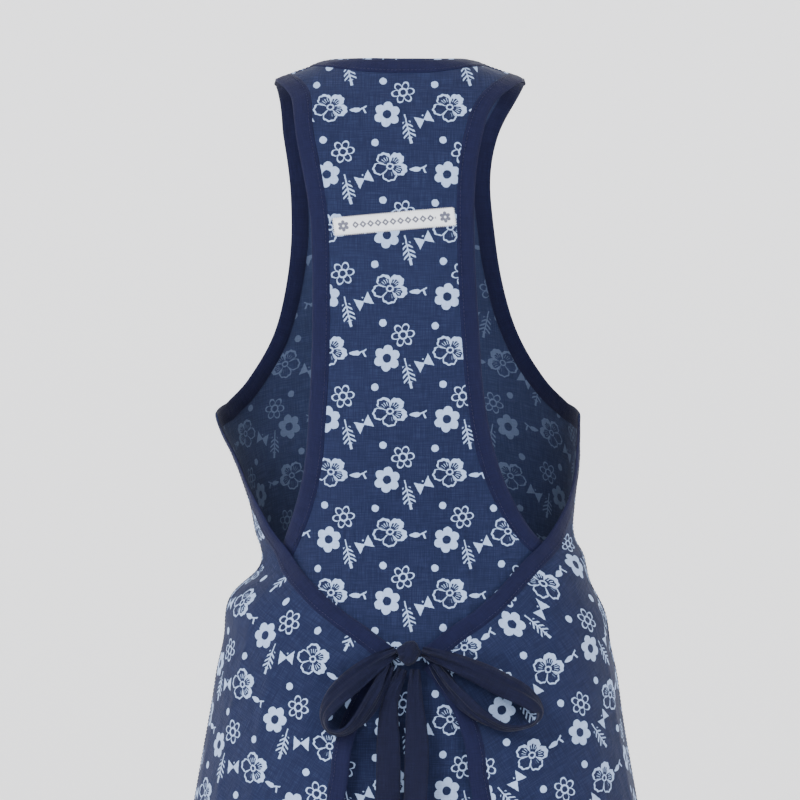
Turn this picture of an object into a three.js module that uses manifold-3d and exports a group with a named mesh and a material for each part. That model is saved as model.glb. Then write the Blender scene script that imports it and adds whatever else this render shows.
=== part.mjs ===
// A wrap-back smock apron, as worn: a front panel whose two wings close over a
// racer back panel and tie in a bow at the centre back.
//
// Millimetres, +Z up. The origin is the point between the shoulders that the apron
// hangs from, -Y is the back, and +X is the right when seen from behind. A drop is a
// distance down from the origin. An azimuth is 0 at the centre back, 90 degrees at
// the +X side and 180 degrees at the centre front.
import * as THREE from "three";
import Module from "manifold-3d";

const wasm = await Module();
wasm.setup();

// ---- The worn shape: rings of the body inside the cloth, from the neck to the hem ----
const NECK = { drop: 0, half: 60, back: 60, front: 44 };
const STRAP = { drop: 16, half: 104, back: 70, front: 50 };
const SHOULDER = { drop: 56, half: 186, back: 92, front: 66 };
const BLADES = { drop: 150, half: 176, back: 112, front: 102 };
const BUST = { drop: 225, half: 160, back: 110, front: 130 };
const UNDERARM = { drop: 290, half: 147, back: 99, front: 124 };
const WAIST = { drop: 400, half: 127, back: 78, front: 98 };
const HIGH_HIP = { drop: 450, half: 147, back: 98, front: 106 };
const HIP = { drop: 560, half: 168, back: 130, front: 120 };
const HEM = { drop: 900, half: 228, back: 168, front: 160 };
const RINGS = [NECK, STRAP, SHOULDER, BLADES, BUST, UNDERARM, WAIST, HIGH_HIP, HIP, HEM];
const SQUARENESS = 2.25; // 2 is an ellipse, more is a squarer section

// ---- Cloth, bindings and seams ----
const CLOTH = 1.2; // thickness of one panel
const LAYER_RISE = 4; // the front panel and wings lie this far outside the back panel
const LAYER_STARTS = 200; // drop at which that rise begins, below the shoulders
const BINDING_WIDTH = 13;
const BINDING_PROUD = 0.4; // how far a binding stands above and below its cloth
const SEAM_GAP = 0.5; // clearance between pieces that are sewn edge to edge
const CUT_MARGIN = 0.15; // how much less than that a binding's room takes from its panel
const HEM_HEIGHT = 20;
const SEAM_WIDTH = 12; // the seam allowance pressed open inside
const SEAM_DEPTH = 0.8;
const RIDGE_GAP = 2.5; // how far the shoulder's allowance lies below its bent ridge

// ---- Edges ----
const BACK_NECK_DIP = 4;
const FRONT_NECK_DROP = 95;
const RACER_HALF = 65; // half the width of the back panel at its narrowest
const RACER_DROP = 160; // where it is narrowest
const RACER_SIDE_DROP = 425; // where the back armhole reaches the side seam
const BIB_HALF = 86; // half the width of the front bib at its narrowest
const BIB_DROP = 115;
const KNOT_DROP = 485;
const FLAP_TOP_DROP = 575; // below this the wings hang free and can swing open
const FLAP_EDGE_HIP = 46; // half the gap between the wings at FLAP_TOP_DROP
const FLAP_EDGE_HEM = 108; // half the gap between the wings at the hem
const SHOULDER_TURN = 0.6; // degrees from the shoulder seam's line to the edge of a panel
const SEAM_TURN = 0.15; // degrees from the side seam's line to the edge of a panel
const FLAP_HINGE_AZIMUTH = 89.3; // degrees; the line that a wing's skirt swings about

// ---- Label, pockets and bow ----
const LABEL_WIDTH = 98;
const LABEL_HEIGHT = 14.5;
const LABEL_DROP = 138;
const LABEL_TILT = 6; // degrees
const LABEL_THICK = 0.8;
const POCKET_WIDTH = 150;
const POCKET_HEIGHT = 180;
const POCKET_TOP_DROP = 505;
const POCKET_OUT = 92; // pocket centre from the centre front, along the cloth
const POCKET_EASE = 18; // how far the mouth of a pocket stands off the panel
const TIE_WIDTH = 19;
const TIE_THICK = 1.6;
const TIE_PINCH = 8; // width of a tie where it enters the knot
const TIE_CLEAR = 3; // the bow's ties lie this far off the cloth under them
const TAIL_LENGTH = 315;
const KNOT_HALF = { x: 8.5, y: 6.5, z: 10 };

const RIGHT_ANGLE = Math.PI / 2;
const radians = THREE.MathUtils.degToRad;
const lerp = THREE.MathUtils.lerp;
const SIDES = [
  ["left", -1],
  ["right", 1],
];
const NAVY_PRINT = { color: 0x2a3a66, roughness: 0.9, metalness: 0 };
const NAVY_PLAIN = { color: 0x232c5c, roughness: 0.85, metalness: 0 };
const LABEL_WHITE = { color: 0xe9e9ec, roughness: 0.8, metalness: 0 };

const apron = new THREE.Group();

function add(name, geometry, finish) {
  const mesh = new THREE.Mesh(geometry, new THREE.MeshStandardMaterial(finish));
  mesh.name = name;
  apron.add(mesh);
}

// ---- The body's surface ----

// A ring's size and its slope at a drop, by a smooth curve through the rings.
function ringValue(key, drop) {
  const last = RINGS.length - 2;
  const i = Math.min(last, Math.max(0, RINGS.findLastIndex((ring) => ring.drop <= drop)));
  const slope = (k) => (RINGS[k + 1][key] - RINGS[k][key]) / (RINGS[k + 1].drop - RINGS[k].drop);
  const tangent = (k) =>
    k === 0 ? slope(0) : k > last ? slope(last) : (slope(k - 1) + slope(k)) / 2;
  const span = RINGS[i + 1].drop - RINGS[i].drop;
  const t = (drop - RINGS[i].drop) / span;
  const [t2, t3] = [t * t, t * t * t];
  return (
    (2 * t3 - 3 * t2 + 1) * RINGS[i][key] +
    (t3 - 2 * t2 + t) * span * tangent(i) +
    (3 * t2 - 2 * t3) * RINGS[i + 1][key] +
    (t3 - t2) * span * tangent(i + 1)
  );
}

const power = (value, exponent) => Math.sign(value) * Math.abs(value) ** exponent;

function depthKey(azimuth) {
  return Math.cos(azimuth) >= 0 ? "back" : "front";
}

// The point on the body at an azimuth and a drop.
function bodyPoint(azimuth, drop) {
  const half = ringValue("half", drop);
  const depth = ringValue(depthKey(azimuth), drop);
  return new THREE.Vector3(
    half * power(Math.sin(azimuth), 2 / SQUARENESS),
    -depth * power(Math.cos(azimuth), 2 / SQUARENESS),
    -drop,
  );
}

// The outward direction there, from the gradient of the section's own equation.
function bodyNormal(azimuth, drop) {
  const key = depthKey(azimuth);
  const [half, depth] = [ringValue("half", drop), ringValue(key, drop)];
  const step = 0.5;
  const halfSlope = (ringValue("half", drop + step) - ringValue("half", drop - step)) / (2 * step);
  const depthSlope = (ringValue(key, drop + step) - ringValue(key, drop - step)) / (2 * step);
  const [s, c] = [Math.abs(Math.sin(azimuth)), Math.abs(Math.cos(azimuth))];
  const share = 2 - 2 / SQUARENESS;
  return new THREE.Vector3(
    (Math.sign(Math.sin(azimuth)) * s ** share) / half,
    (-Math.sign(Math.cos(azimuth)) * c ** share) / depth,
    (s * s * halfSlope) / half + (c * c * depthSlope) / depth,
  ).normalize();
}

// The azimuth and drop of a point beside the body.
function locate(point) {
  const drop = -point.z;
  const half = ringValue("half", drop);
  const depth = ringValue(point.y <= 0 ? "back" : "front", drop);
  return {
    azimuth: Math.atan2(
      power(point.x / half, SQUARENESS / 2),
      power(-point.y / depth, SQUARENESS / 2),
    ),
    drop,
  };
}

// The azimuth of the point at a distance x from the centre, on the back or the front.
function azimuthAtX(x, drop, front = false) {
  const share = Math.min(1, Math.abs(x) / ringValue("half", drop));
  const angle = Math.sign(x) * Math.asin(share ** (SQUARENESS / 2));
  return front ? Math.PI - angle : angle;
}

// The azimuth at a distance along the cloth from the centre front.
function azimuthAlongFront(distance, drop) {
  const step = radians(0.5);
  const sign = Math.sign(distance) || 1;
  let [angle, run] = [0, 0];
  let previous = bodyPoint(Math.PI, drop);
  while (run < Math.abs(distance) && angle < RIGHT_ANGLE) {
    angle += step;
    const next = bodyPoint(Math.PI - angle, drop);
    run += next.distanceTo(previous);
    previous = next;
  }
  return Math.PI - sign * angle;
}

const backLayer = () => 0;
const outerLayer = (drop) =>
  LAYER_RISE * THREE.MathUtils.smoothstep(drop, LAYER_STARTS, UNDERARM.drop);

// ---- Cloth solids ----

// Closes a patchwork of quads into a solid. A corner is its point on the inner face
// and its point on the outer face, and an edge that one quad alone uses gets a wall.
function closedSheet(quads) {
  const places = new Map();
  const positions = [];
  const indices = [];
  const indexOf = (corner) => {
    const key = corner.inner.toArray().map((value) => Math.round(1000 * value) + 0).join();
    if (!places.has(key)) {
      places.set(key, places.size);
      positions.push(...corner.inner.toArray(), ...corner.outer.toArray());
    }
    return places.get(key);
  };
  const edges = new Map();
  for (const quad of quads) {
    const ids = quad.map(indexOf);
    const [a, b, c, d] = ids;
    for (const [p, q, r] of [[a, b, c], [a, c, d]]) {
      if (p === q || q === r || r === p) continue;
      indices.push(2 * p, 2 * q, 2 * r, 2 * p + 1, 2 * r + 1, 2 * q + 1);
    }
    ids.forEach((from, k) => {
      const to = ids[(k + 1) % 4];
      if (from === to) return;
      if (edges.has(to + "," + from)) edges.delete(to + "," + from);
      else edges.set(from + "," + to, [from, to]);
    });
  }
  for (const [from, to] of edges.values()) {
    indices.push(2 * from, 2 * from + 1, 2 * to + 1, 2 * from, 2 * to + 1, 2 * to);
  }
  if (signedVolume(positions, indices) < 0) indices.reverse();
  return new THREE.BufferGeometry()
    .setAttribute("position", new THREE.Float32BufferAttribute(positions, 3))
    .setIndex(indices);
}

function signedVolume(positions, indices) {
  const point = (i) => new THREE.Vector3().fromArray(positions, 3 * i);
  let sum = 0;
  for (let i = 0; i < indices.length; i += 3) {
    sum += point(indices[i]).dot(point(indices[i + 1]).cross(point(indices[i + 2])));
  }
  return sum;
}

// The quads of a grid whose rows run down the cloth and whose columns run across it.
function quadsOf(grid) {
  return grid.slice(1).flatMap((row, i) =>
    row.slice(1).map((_, j) => [grid[i][j], grid[i + 1][j], grid[i + 1][j + 1], grid[i][j + 1]]),
  );
}

// A corner of cloth on the body, from its azimuth and drop to its two faces.
function cornerOn(place, base, thick, below = 0) {
  const point = bodyPoint(place.azimuth, place.drop);
  const normal = bodyNormal(place.azimuth, place.drop);
  return {
    inner: point.clone().addScaledVector(normal, base - below),
    outer: point.clone().addScaledVector(normal, base + thick),
  };
}

function drapedCloth(grids, layer) {
  const corners = (grid) =>
    grid.map((row) => row.map((place) => cornerOn(place, layer(place.drop), CLOTH)));
  return closedSheet(grids.flatMap((grid) => quadsOf(corners(grid))));
}

function mix(a, b, t) {
  return { azimuth: lerp(a.azimuth, b.azimuth, t), drop: lerp(a.drop, b.drop, t) };
}

// n + 1 places spaced evenly between a list's first and last, along its own length.
function resample(places, n) {
  const curve = new THREE.CatmullRomCurve3(
    places.map((p) => new THREE.Vector3(p.azimuth * WAIST.half, p.drop, 0)),
    false,
    "centripetal",
  );
  return curve.getSpacedPoints(n).map((v) => ({ azimuth: v.x / WAIST.half, drop: v.y }));
}

// A grid between four edges: top and bottom run across, left and right run down.
function coonsGrid(top, bottom, left, right) {
  const [rows, columns] = [left.length - 1, top.length - 1];
  const blend = (key, i, j) => {
    const [u, v] = [j / columns, i / rows];
    return (
      lerp(top[j][key], bottom[j][key], v) +
      lerp(left[i][key], right[i][key], u) -
      lerp(lerp(top[0][key], top[columns][key], u), lerp(bottom[0][key], bottom[columns][key], u), v)
    );
  };
  return left.map((_, i) =>
    top.map((__, j) => ({ azimuth: blend("azimuth", i, j), drop: blend("drop", i, j) })),
  );
}

// ---- Edges and the bindings along them ----

// The places at a distance in from an edge. inward is 1 or -1 for the side the cloth is on.
function insetEdge(edge, layer, distance, inward) {
  const points = edge.map((p) => cornerOn(p, layer(p.drop), 0).inner);
  const last = points.length - 1;
  const round = points[0].distanceTo(points[last]) < SEAM_GAP;
  return edge.map((place, i) => {
    const before = points[i > 0 ? i - 1 : round ? last - 1 : 0];
    const after = points[i < last ? i + 1 : round ? 1 : last];
    const along = after.clone().sub(before).normalize();
    const across = bodyNormal(place.azimuth, place.drop).cross(along).multiplyScalar(inward);
    const found = locate(bodyPoint(place.azimuth, place.drop).addScaledVector(across, distance));
    const turns = Math.round((place.azimuth - found.azimuth) / (2 * Math.PI));
    return { azimuth: found.azimuth + turns * 2 * Math.PI, drop: found.drop };
  });
}

// A folded binding over an edge: a strip that stands proud of the cloth on both faces.
function binding(edge, layer, inward) {
  const rows = [0, BINDING_WIDTH / 2, BINDING_WIDTH].map((distance) =>
    insetEdge(edge, layer, distance, inward),
  );
  const corners = rows.map((row) =>
    row.map((p) => cornerOn(p, layer(p.drop), CLOTH + BINDING_PROUD, BINDING_PROUD)),
  );
  return closedSheet(quadsOf(corners));
}

// The room that a binding needs in the cloth beside it: its own strip with a clearance all round.
function bindingRoom(edge, layer, inward) {
  const rows = [0, BINDING_WIDTH / 2, BINDING_WIDTH + SEAM_GAP - CUT_MARGIN].map((distance) =>
    insetEdge(edge, layer, distance, inward),
  );
  const proud = BINDING_PROUD + SEAM_GAP;
  const corners = rows.map((row) =>
    row.map((p) => cornerOn(p, layer(p.drop), CLOTH + proud, proud)),
  );
  return solidOf(closedSheet(quadsOf(corners)));
}

function solidOf(geometry) {
  const vertProperties = geometry.getAttribute("position").array;
  const triVerts = new Uint32Array(geometry.index.array);
  return new wasm.Manifold(new wasm.Mesh({ numProp: 3, vertProperties, triVerts }));
}

// A panel with the rooms of its bindings cut out of it, less any offcut.
function cutClear(panel, rooms) {
  const cut = rooms.reduce((solid, room) => solid.subtract(room), solidOf(panel));
  const [whole] = cut.decompose().sort((a, b) => b.volume() - a.volume());
  const { vertProperties, triVerts } = whole.getMesh();
  return new THREE.BufferGeometry()
    .setAttribute("position", new THREE.Float32BufferAttribute(vertProperties, 3))
    .setIndex(Array.from(triVerts));
}

// The edge of the panel that a binding closes, with the seam's clearance.
const boundEdge = (edge, layer, inward) =>
  insetEdge(edge, layer, BINDING_WIDTH + SEAM_GAP, inward);

// A smooth edge through chosen (x, drop) points, as places on the back or the front.
function edgeThrough(points, count, front = false) {
  const curve = new THREE.SplineCurve(points.map(([x, drop]) => new THREE.Vector2(x, drop)));
  return curve
    .getSpacedPoints(count)
    .map((v) => ({ azimuth: azimuthAtX(v.x, v.y, front), drop: v.y }));
}

const mirrored = (edge) => edge.map((p) => ({ azimuth: -p.azimuth, drop: p.drop }));
const shoulderAzimuth = (front) => RIGHT_ANGLE + (front ? 1 : -1) * radians(SHOULDER_TURN);

// The +X back armhole, from the shoulder down to the side seam.
function backArmhole() {
  const flare = (RACER_SIDE_DROP - RACER_DROP) / 9;
  const side = ringValue("half", RACER_SIDE_DROP);
  const edge = edgeThrough(
    [
      [STRAP.half, STRAP.drop],
      [RACER_HALF + 18, 38],
      [RACER_HALF + 9, 72],
      [RACER_HALF + 2, 116],
      [RACER_HALF, RACER_DROP],
      [RACER_HALF + 2, RACER_DROP + 2.5 * flare],
      [RACER_HALF + 5, RACER_DROP + 4 * flare],
      [RACER_HALF + 11, RACER_DROP + 5.5 * flare],
      [RACER_HALF + 21, RACER_DROP + 6.7 * flare],
      [RACER_HALF + 38, RACER_DROP + 7.9 * flare],
      [side - 3, RACER_SIDE_DROP - 2],
    ],
    26,
  );
  edge[0] = { azimuth: shoulderAzimuth(false), drop: STRAP.drop };
  return edge;
}

// The +X front armhole, from the shoulder to the side of the body.
function frontArmhole() {
  const rise = UNDERARM.drop - BIB_DROP;
  const edge = edgeThrough(
    [
      [STRAP.half, STRAP.drop],
      [BIB_HALF + 8, 45],
      [BIB_HALF + 1, 80],
      [BIB_HALF, BIB_DROP],
      [BIB_HALF + 5, BIB_DROP + 0.3 * rise],
      [BIB_HALF + 18, BIB_DROP + 0.6 * rise],
      [BIB_HALF + 38, BIB_DROP + 0.83 * rise],
      [UNDERARM.half - 6, UNDERARM.drop - 8],
    ],
    18,
    true,
  );
  edge[0] = { azimuth: shoulderAzimuth(true), drop: STRAP.drop };
  return edge;
}

// The top edge of the +X wing, from the side of the body down to the knot.
function wingTopEdge() {
  const fall = KNOT_DROP - UNDERARM.drop;
  const side = UNDERARM.half;
  return edgeThrough(
    [
      [side - 3, UNDERARM.drop + 0.06 * fall],
      [side - 10, UNDERARM.drop + 0.16 * fall],
      [side - 20, UNDERARM.drop + 0.32 * fall],
      [side - 31, UNDERARM.drop + 0.44 * fall],
      [side - 44, UNDERARM.drop + 0.55 * fall],
      [side - 74, UNDERARM.drop + 0.73 * fall],
      [side - 95, UNDERARM.drop + 0.82 * fall],
      [side - 115, UNDERARM.drop + 0.89 * fall],
      [KNOT_HALF.x + 1, KNOT_DROP - 4],
    ],
    16,
  );
}

// The whole +X front edge, and how many of its places come before the side seam.
const FRONT_ARMHOLE = frontArmhole();
const FRONT_EDGE = [
  ...FRONT_ARMHOLE,
  { azimuth: RIGHT_ANGLE, drop: UNDERARM.drop },
  ...wingTopEdge(),
];
const BACK_ARMHOLE = backArmhole();

// The +X centre-back edge of a wing between two drops.
function wingBackEdge(from, to, count) {
  const knee = FLAP_TOP_DROP;
  const halfGap = (drop) =>
    drop < knee
      ? FLAP_EDGE_HIP * Math.sin((RIGHT_ANGLE * (drop - KNOT_DROP)) / (knee - KNOT_DROP)) ** 0.8
      : lerp(FLAP_EDGE_HIP, FLAP_EDGE_HEM, (drop - knee) / (HEM.drop - knee));
  return Array.from({ length: count + 1 }, (_, i) => {
    const drop = lerp(from, to, i / count);
    return { azimuth: azimuthAtX(halfGap(drop), drop), drop };
  });
}

// The neckline, once round from the centre back by the +X shoulder.
function neckline(count) {
  return Array.from({ length: count + 1 }, (_, i) => {
    const turn = (2 * Math.PI * i) / count;
    const front = Math.cos(turn) < -1e-9;
    const fall = (front ? -FRONT_NECK_DROP : BACK_NECK_DIP) * Math.cos(turn);
    const drop = Math.max(0, fall);
    const angle = azimuthAtX(NECK.half * Math.sin(turn), drop, front);
    return { azimuth: front || turn < Math.PI ? angle : angle + 2 * Math.PI, drop };
  });
}

const NECK_STEPS = 28;
const NECKLINE = neckline(NECK_STEPS);
const QUARTER = NECK_STEPS / 4;
const SKIRT_COLUMNS = 18; // facets across the front or the back
const STRAP_STEPS = 5; // steps of the neckline from the shoulder to the foot of a strap

// The places along a shoulder between two distances from the centre.
function shoulderLine(fromX, toX, front, count) {
  const dropAt = (x) => {
    let [low, high] = [0, SHOULDER.drop];
    for (let i = 0; i < 30; i += 1) {
      const middle = (low + high) / 2;
      if (ringValue("half", middle) < Math.abs(x)) low = middle;
      else high = middle;
    }
    return low;
  };
  return Array.from({ length: count + 1 }, (_, i) => {
    const x = lerp(fromX, toX, i / count);
    return { azimuth: Math.sign(x) * shoulderAzimuth(front), drop: dropAt(x) };
  });
}

const xOf = (place) => bodyPoint(place.azimuth, place.drop).x;

// ---- Panels ----

// The back panel: a racer back above the waist, full width below it.
function backPanel() {
  const side = boundEdge(BACK_ARMHOLE, backLayer, -1);
  const neck = boundEdge(NECKLINE, backLayer, -1);
  const strapColumns = SKIRT_COLUMNS / 2 - QUARTER;
  const right = side.filter((p, i) => i > 0 && p.drop < RACER_SIDE_DROP + BINDING_WIDTH - 2);
  const shoulderOut = STRAP.half - BINDING_WIDTH - SEAM_GAP;
  const shoulderIn = Math.abs(xOf(neck[QUARTER]));
  const strap = shoulderLine(shoulderIn, shoulderOut, false, strapColumns);
  const halfNeck = neck.slice(1, QUARTER);
  const top = [
    ...mirrored([...halfNeck, ...strap]).reverse(),
    neck[0],
    ...halfNeck,
    ...strap,
  ];
  const columns = top.length - 1;
  const straight = (place) => Array.from({ length: columns + 1 }, (_, j) => ({
    azimuth: place.azimuth * ((2 * j) / columns - 1),
    drop: place.drop,
  }));
  const yoke = right.findIndex((p) => p.drop > SHOULDER.drop);
  const edge = [strap[strapColumns], ...right.slice(0, yoke + 1)];
  const upper = coonsGrid(top, straight(right[yoke]), mirrored(edge), edge);
  const seam = RIGHT_ANGLE - radians(SEAM_TURN);
  const skirtRows = 12;
  const skirtTop = { azimuth: seam, drop: RACER_SIDE_DROP + BINDING_WIDTH };
  const skirtFoot = { azimuth: seam, drop: HEM.drop - HEM_HEIGHT - SEAM_GAP };
  const lower = [
    ...right.slice(yoke),
    ...Array.from({ length: skirtRows + 1 }, (_, i) => mix(skirtTop, skirtFoot, i / skirtRows)),
  ].map(straight);
  return cutClear(drapedCloth([upper, lower], backLayer), [
    bindingRoom(NECKLINE, backLayer, -1),
    bindingRoom(BACK_ARMHOLE, backLayer, -1),
    bindingRoom(mirrored(BACK_ARMHOLE), backLayer, 1),
  ]);
}

// The front panel: a bib with two straps and a scooped neck, and a full front skirt.
function frontPanel() {
  const side = boundEdge(FRONT_EDGE, outerLayer, 1);
  const neck = boundEdge(NECKLINE, outerLayer, -1);
  const strapColumns = SKIRT_COLUMNS / 2 - QUARTER + STRAP_STEPS;
  const right = side.filter((p, i) => i > 0 && p.azimuth > RIGHT_ANGLE + radians(6));
  const shoulderOut = STRAP.half - BINDING_WIDTH - SEAM_GAP;
  const shoulderIn = Math.abs(xOf(neck[QUARTER]));
  const shoulder = shoulderLine(shoulderOut, shoulderIn, true, strapColumns);
  const strapFoot = QUARTER + STRAP_STEPS;
  const outer = [shoulder[0], ...right.slice(0, STRAP_STEPS)];
  const inner = [shoulder[strapColumns], ...neck.slice(QUARTER + 1, strapFoot + 1)];
  const foot = Array.from({ length: strapColumns + 1 }, (_, j) =>
    mix(outer[STRAP_STEPS], inner[STRAP_STEPS], j / strapColumns),
  );
  const strap = coonsGrid(shoulder, foot, outer, inner);
  const across = (place) => ({ azimuth: 2 * Math.PI - place.azimuth, drop: place.drop });
  const otherStrap = strap.map((row) => row.map(across).reverse());
  const hole = neck.slice(strapFoot, NECK_STEPS - strapFoot + 1);
  const bibRow = [
    ...foot.slice(0, -1),
    foot[strapColumns],
    ...hole.slice(1, -1),
    across(foot[strapColumns]),
    ...foot.slice(0, -1).map(across).reverse(),
  ];
  const shares = bibRow.map((p) => (p.azimuth - Math.PI) / (bibRow[0].azimuth - Math.PI));
  const level = (place, sag, spread) => bibRow.map((p, j) => ({
    azimuth: Math.PI + (place.azimuth - Math.PI) * lerp(shares[j], 1 - (2 * j) / SKIRT_COLUMNS, spread),
    drop: place.drop + (p.drop - bibRow[0].drop) * sag,
  }));
  const seam = RIGHT_ANGLE + radians(SEAM_TURN);
  const skirtRows = 16;
  const skirtTop = { azimuth: seam, drop: side[FRONT_ARMHOLE.length + 1].drop + SEAM_GAP };
  const skirtFoot = { azimuth: seam, drop: HEM.drop - HEM_HEIGHT - SEAM_GAP };
  const chest = right.slice(STRAP_STEPS);
  const bib = [
    bibRow,
    ...chest.map((place, i) => level(place, 1 - (i + 1) / (chest.length + 1), 0)),
    ...Array.from({ length: skirtRows + 1 }, (_, i) =>
      level(mix(skirtTop, skirtFoot, i / skirtRows), 0, i / skirtRows),
    ),
  ];
  return cutClear(drapedCloth([strap, otherStrap, bib], outerLayer), [
    bindingRoom(NECKLINE, outerLayer, -1),
    bindingRoom(FRONT_EDGE, outerLayer, 1),
    bindingRoom(mirrored(FRONT_EDGE), outerLayer, -1),
  ]);
}

// The +X wing above the line where it starts to hang free.
function wing() {
  const bound = boundEdge(FRONT_EDGE, outerLayer, 1);
  const seam = RIGHT_ANGLE - radians(SEAM_TURN);
  const backEdge = boundEdge(WING_EDGE, outerLayer, 1);
  const corner = { azimuth: backEdge[0].azimuth + radians(2), drop: backEdge[0].drop - 2 };
  const alongTop = bound.filter((p) => p.azimuth < seam && xOf(p) > xOf(corner) + 4);
  const first = bound.indexOf(alongTop[0]);
  const top = [{ azimuth: seam, drop: bound[first - 1].drop }, ...alongTop, corner];
  const columns = top.length - 1;
  const rows = 8;
  const right = resample([corner, ...backEdge.slice(1)], rows);
  const left = Array.from({ length: rows + 1 }, (_, i) =>
    mix(top[0], { azimuth: seam, drop: right[rows].drop }, i / rows),
  );
  const bottom = top.map((_, j) => mix(left[rows], right[rows], j / columns));
  return cutClear(drapedCloth([coonsGrid(top, bottom, left, right)], outerLayer), [
    bindingRoom(FRONT_EDGE, outerLayer, 1),
    bindingRoom(WING_EDGE, outerLayer, 1),
  ]);
}

const FLAP_COLUMNS = 8;
const HEM_TOP = HEM.drop - HEM_HEIGHT - SEAM_GAP;
const WING_EDGE = wingBackEdge(KNOT_DROP + 18, FLAP_TOP_DROP - 6 * SEAM_GAP, 8);
const FLAP_EDGE = wingBackEdge(FLAP_TOP_DROP + SEAM_GAP, HEM_TOP, 8);

// The +X wing's skirt, which swings about the side.
function flap() {
  const inner = boundEdge(FLAP_EDGE, outerLayer, 1);
  const hinge = radians(FLAP_HINGE_AZIMUTH);
  const grid = FLAP_EDGE.map((p, i) =>
    Array.from({ length: FLAP_COLUMNS + 1 }, (_, j) => ({
      azimuth: lerp(hinge, inner[i].azimuth, j / FLAP_COLUMNS),
      drop: p.drop,
    })),
  );
  return cutClear(drapedCloth([grid], outerLayer), [bindingRoom(FLAP_EDGE, outerLayer, 1)]);
}

// A hem between two azimuths: the cloth turned up twice, so a thicker band.
function hem(from, to, layer, columns) {
  const grid = [HEM.drop - HEM_HEIGHT, HEM.drop - HEM_HEIGHT / 2, HEM.drop].map((drop) =>
    Array.from({ length: columns + 1 }, (_, j) => ({ azimuth: lerp(from, to, j / columns), drop })),
  );
  const corners = grid.map((row) =>
    row.map((p) => cornerOn(p, layer(p.drop), CLOTH + BINDING_PROUD, BINDING_PROUD)),
  );
  return closedSheet(quadsOf(corners));
}

// ---- Seams, label and pockets ----

// A seam allowance inside the cloth, along a line of places, pressed open to both sides.
function seamTape(line, depth) {
  const rows = [-SEAM_WIDTH / 2, 0, SEAM_WIDTH / 2].map((distance) =>
    insetEdge(line, backLayer, distance, 1),
  );
  const corners = rows.map((row) => row.map((p) => cornerOn(p, -depth - SEAM_DEPTH, SEAM_DEPTH)));
  return closedSheet(quadsOf(corners));
}

function label() {
  const base = CLOTH + SEAM_GAP;
  const tilt = radians(LABEL_TILT);
  const columns = 8;
  const rows = 2;
  const grid = Array.from({ length: rows + 1 }, (_, i) =>
    Array.from({ length: columns + 1 }, (__, j) => {
      const [u, v] = [LABEL_WIDTH * (j / columns - 0.5), LABEL_HEIGHT * (i / rows - 0.5)];
      const x = u * Math.cos(tilt) + v * Math.sin(tilt);
      const drop = LABEL_DROP - u * Math.sin(tilt) + v * Math.cos(tilt);
      return cornerOn({ azimuth: azimuthAtX(x, drop), drop }, base, LABEL_THICK);
    }),
  );
  return closedSheet(quadsOf(grid));
}

// A band of the +X pocket between two depths below its top, standing off at its mouth.
function pocketBand(fromDepth, toDepth, rows, proud) {
  const columns = 10;
  const grid = Array.from({ length: rows + 1 }, (_, i) => {
    const depth = lerp(fromDepth, toDepth, i / rows);
    const drop = POCKET_TOP_DROP + depth;
    return Array.from({ length: columns + 1 }, (__, j) => {
      const across = j / columns - 0.5;
      const azimuth = azimuthAlongFront(POCKET_OUT + POCKET_WIDTH * across, drop);
      const ease = POCKET_EASE * Math.cos(Math.PI * across) * (1 - depth / POCKET_HEIGHT) ** 0.7;
      const base = LAYER_RISE + CLOTH + SEAM_GAP + BINDING_PROUD + ease;
      return cornerOn({ azimuth, drop }, base, CLOTH + proud, proud);
    });
  });
  return closedSheet(quadsOf(grid));
}

// ---- The bow ----

const KNOT = cornerOn(
  { azimuth: 0, drop: KNOT_DROP },
  LAYER_RISE + CLOTH + BINDING_PROUD + TIE_CLEAR + KNOT_HALF.y,
  0,
).inner;

// A flat tie along a route. A stop is [x, drop, lift off the cloth, roll in degrees, width]:
// at roll 0 the tie lies flat on the cloth, and at 90 it stands on its edge.
function tie(stops, steps) {
  const floor = LAYER_RISE + CLOTH + BINDING_PROUD + TIE_CLEAR;
  const places = stops.map(([x, drop, lift]) =>
    cornerOn({ azimuth: azimuthAtX(x, drop), drop }, floor + lift, 0).inner,
  );
  const route = new THREE.CatmullRomCurve3(places, false, "centripetal");
  const grid = Array.from({ length: steps + 1 }, (_, i) => {
    const t = i / steps;
    const centre = route.getPoint(t);
    const along = route.getTangent(t);
    const at = t * (stops.length - 1);
    const k = Math.min(stops.length - 2, Math.floor(at));
    const [roll, width] = [3, 4].map((n) => lerp(stops[k][n], stops[k + 1][n], at - k));
    const place = locate(centre);
    const up = bodyNormal(place.azimuth, place.drop);
    const across = up.clone().cross(along).normalize().applyAxisAngle(along, radians(roll));
    const face = across.clone().cross(along).normalize();
    return [-0.5, 0.5].map((share) => {
      const middle = centre.clone().addScaledVector(across, share * width);
      return {
        inner: middle.clone().addScaledVector(face, -TIE_THICK / 2),
        outer: middle.clone().addScaledVector(face, TIE_THICK / 2),
      };
    });
  });
  return closedSheet(quadsOf(grid));
}

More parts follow.
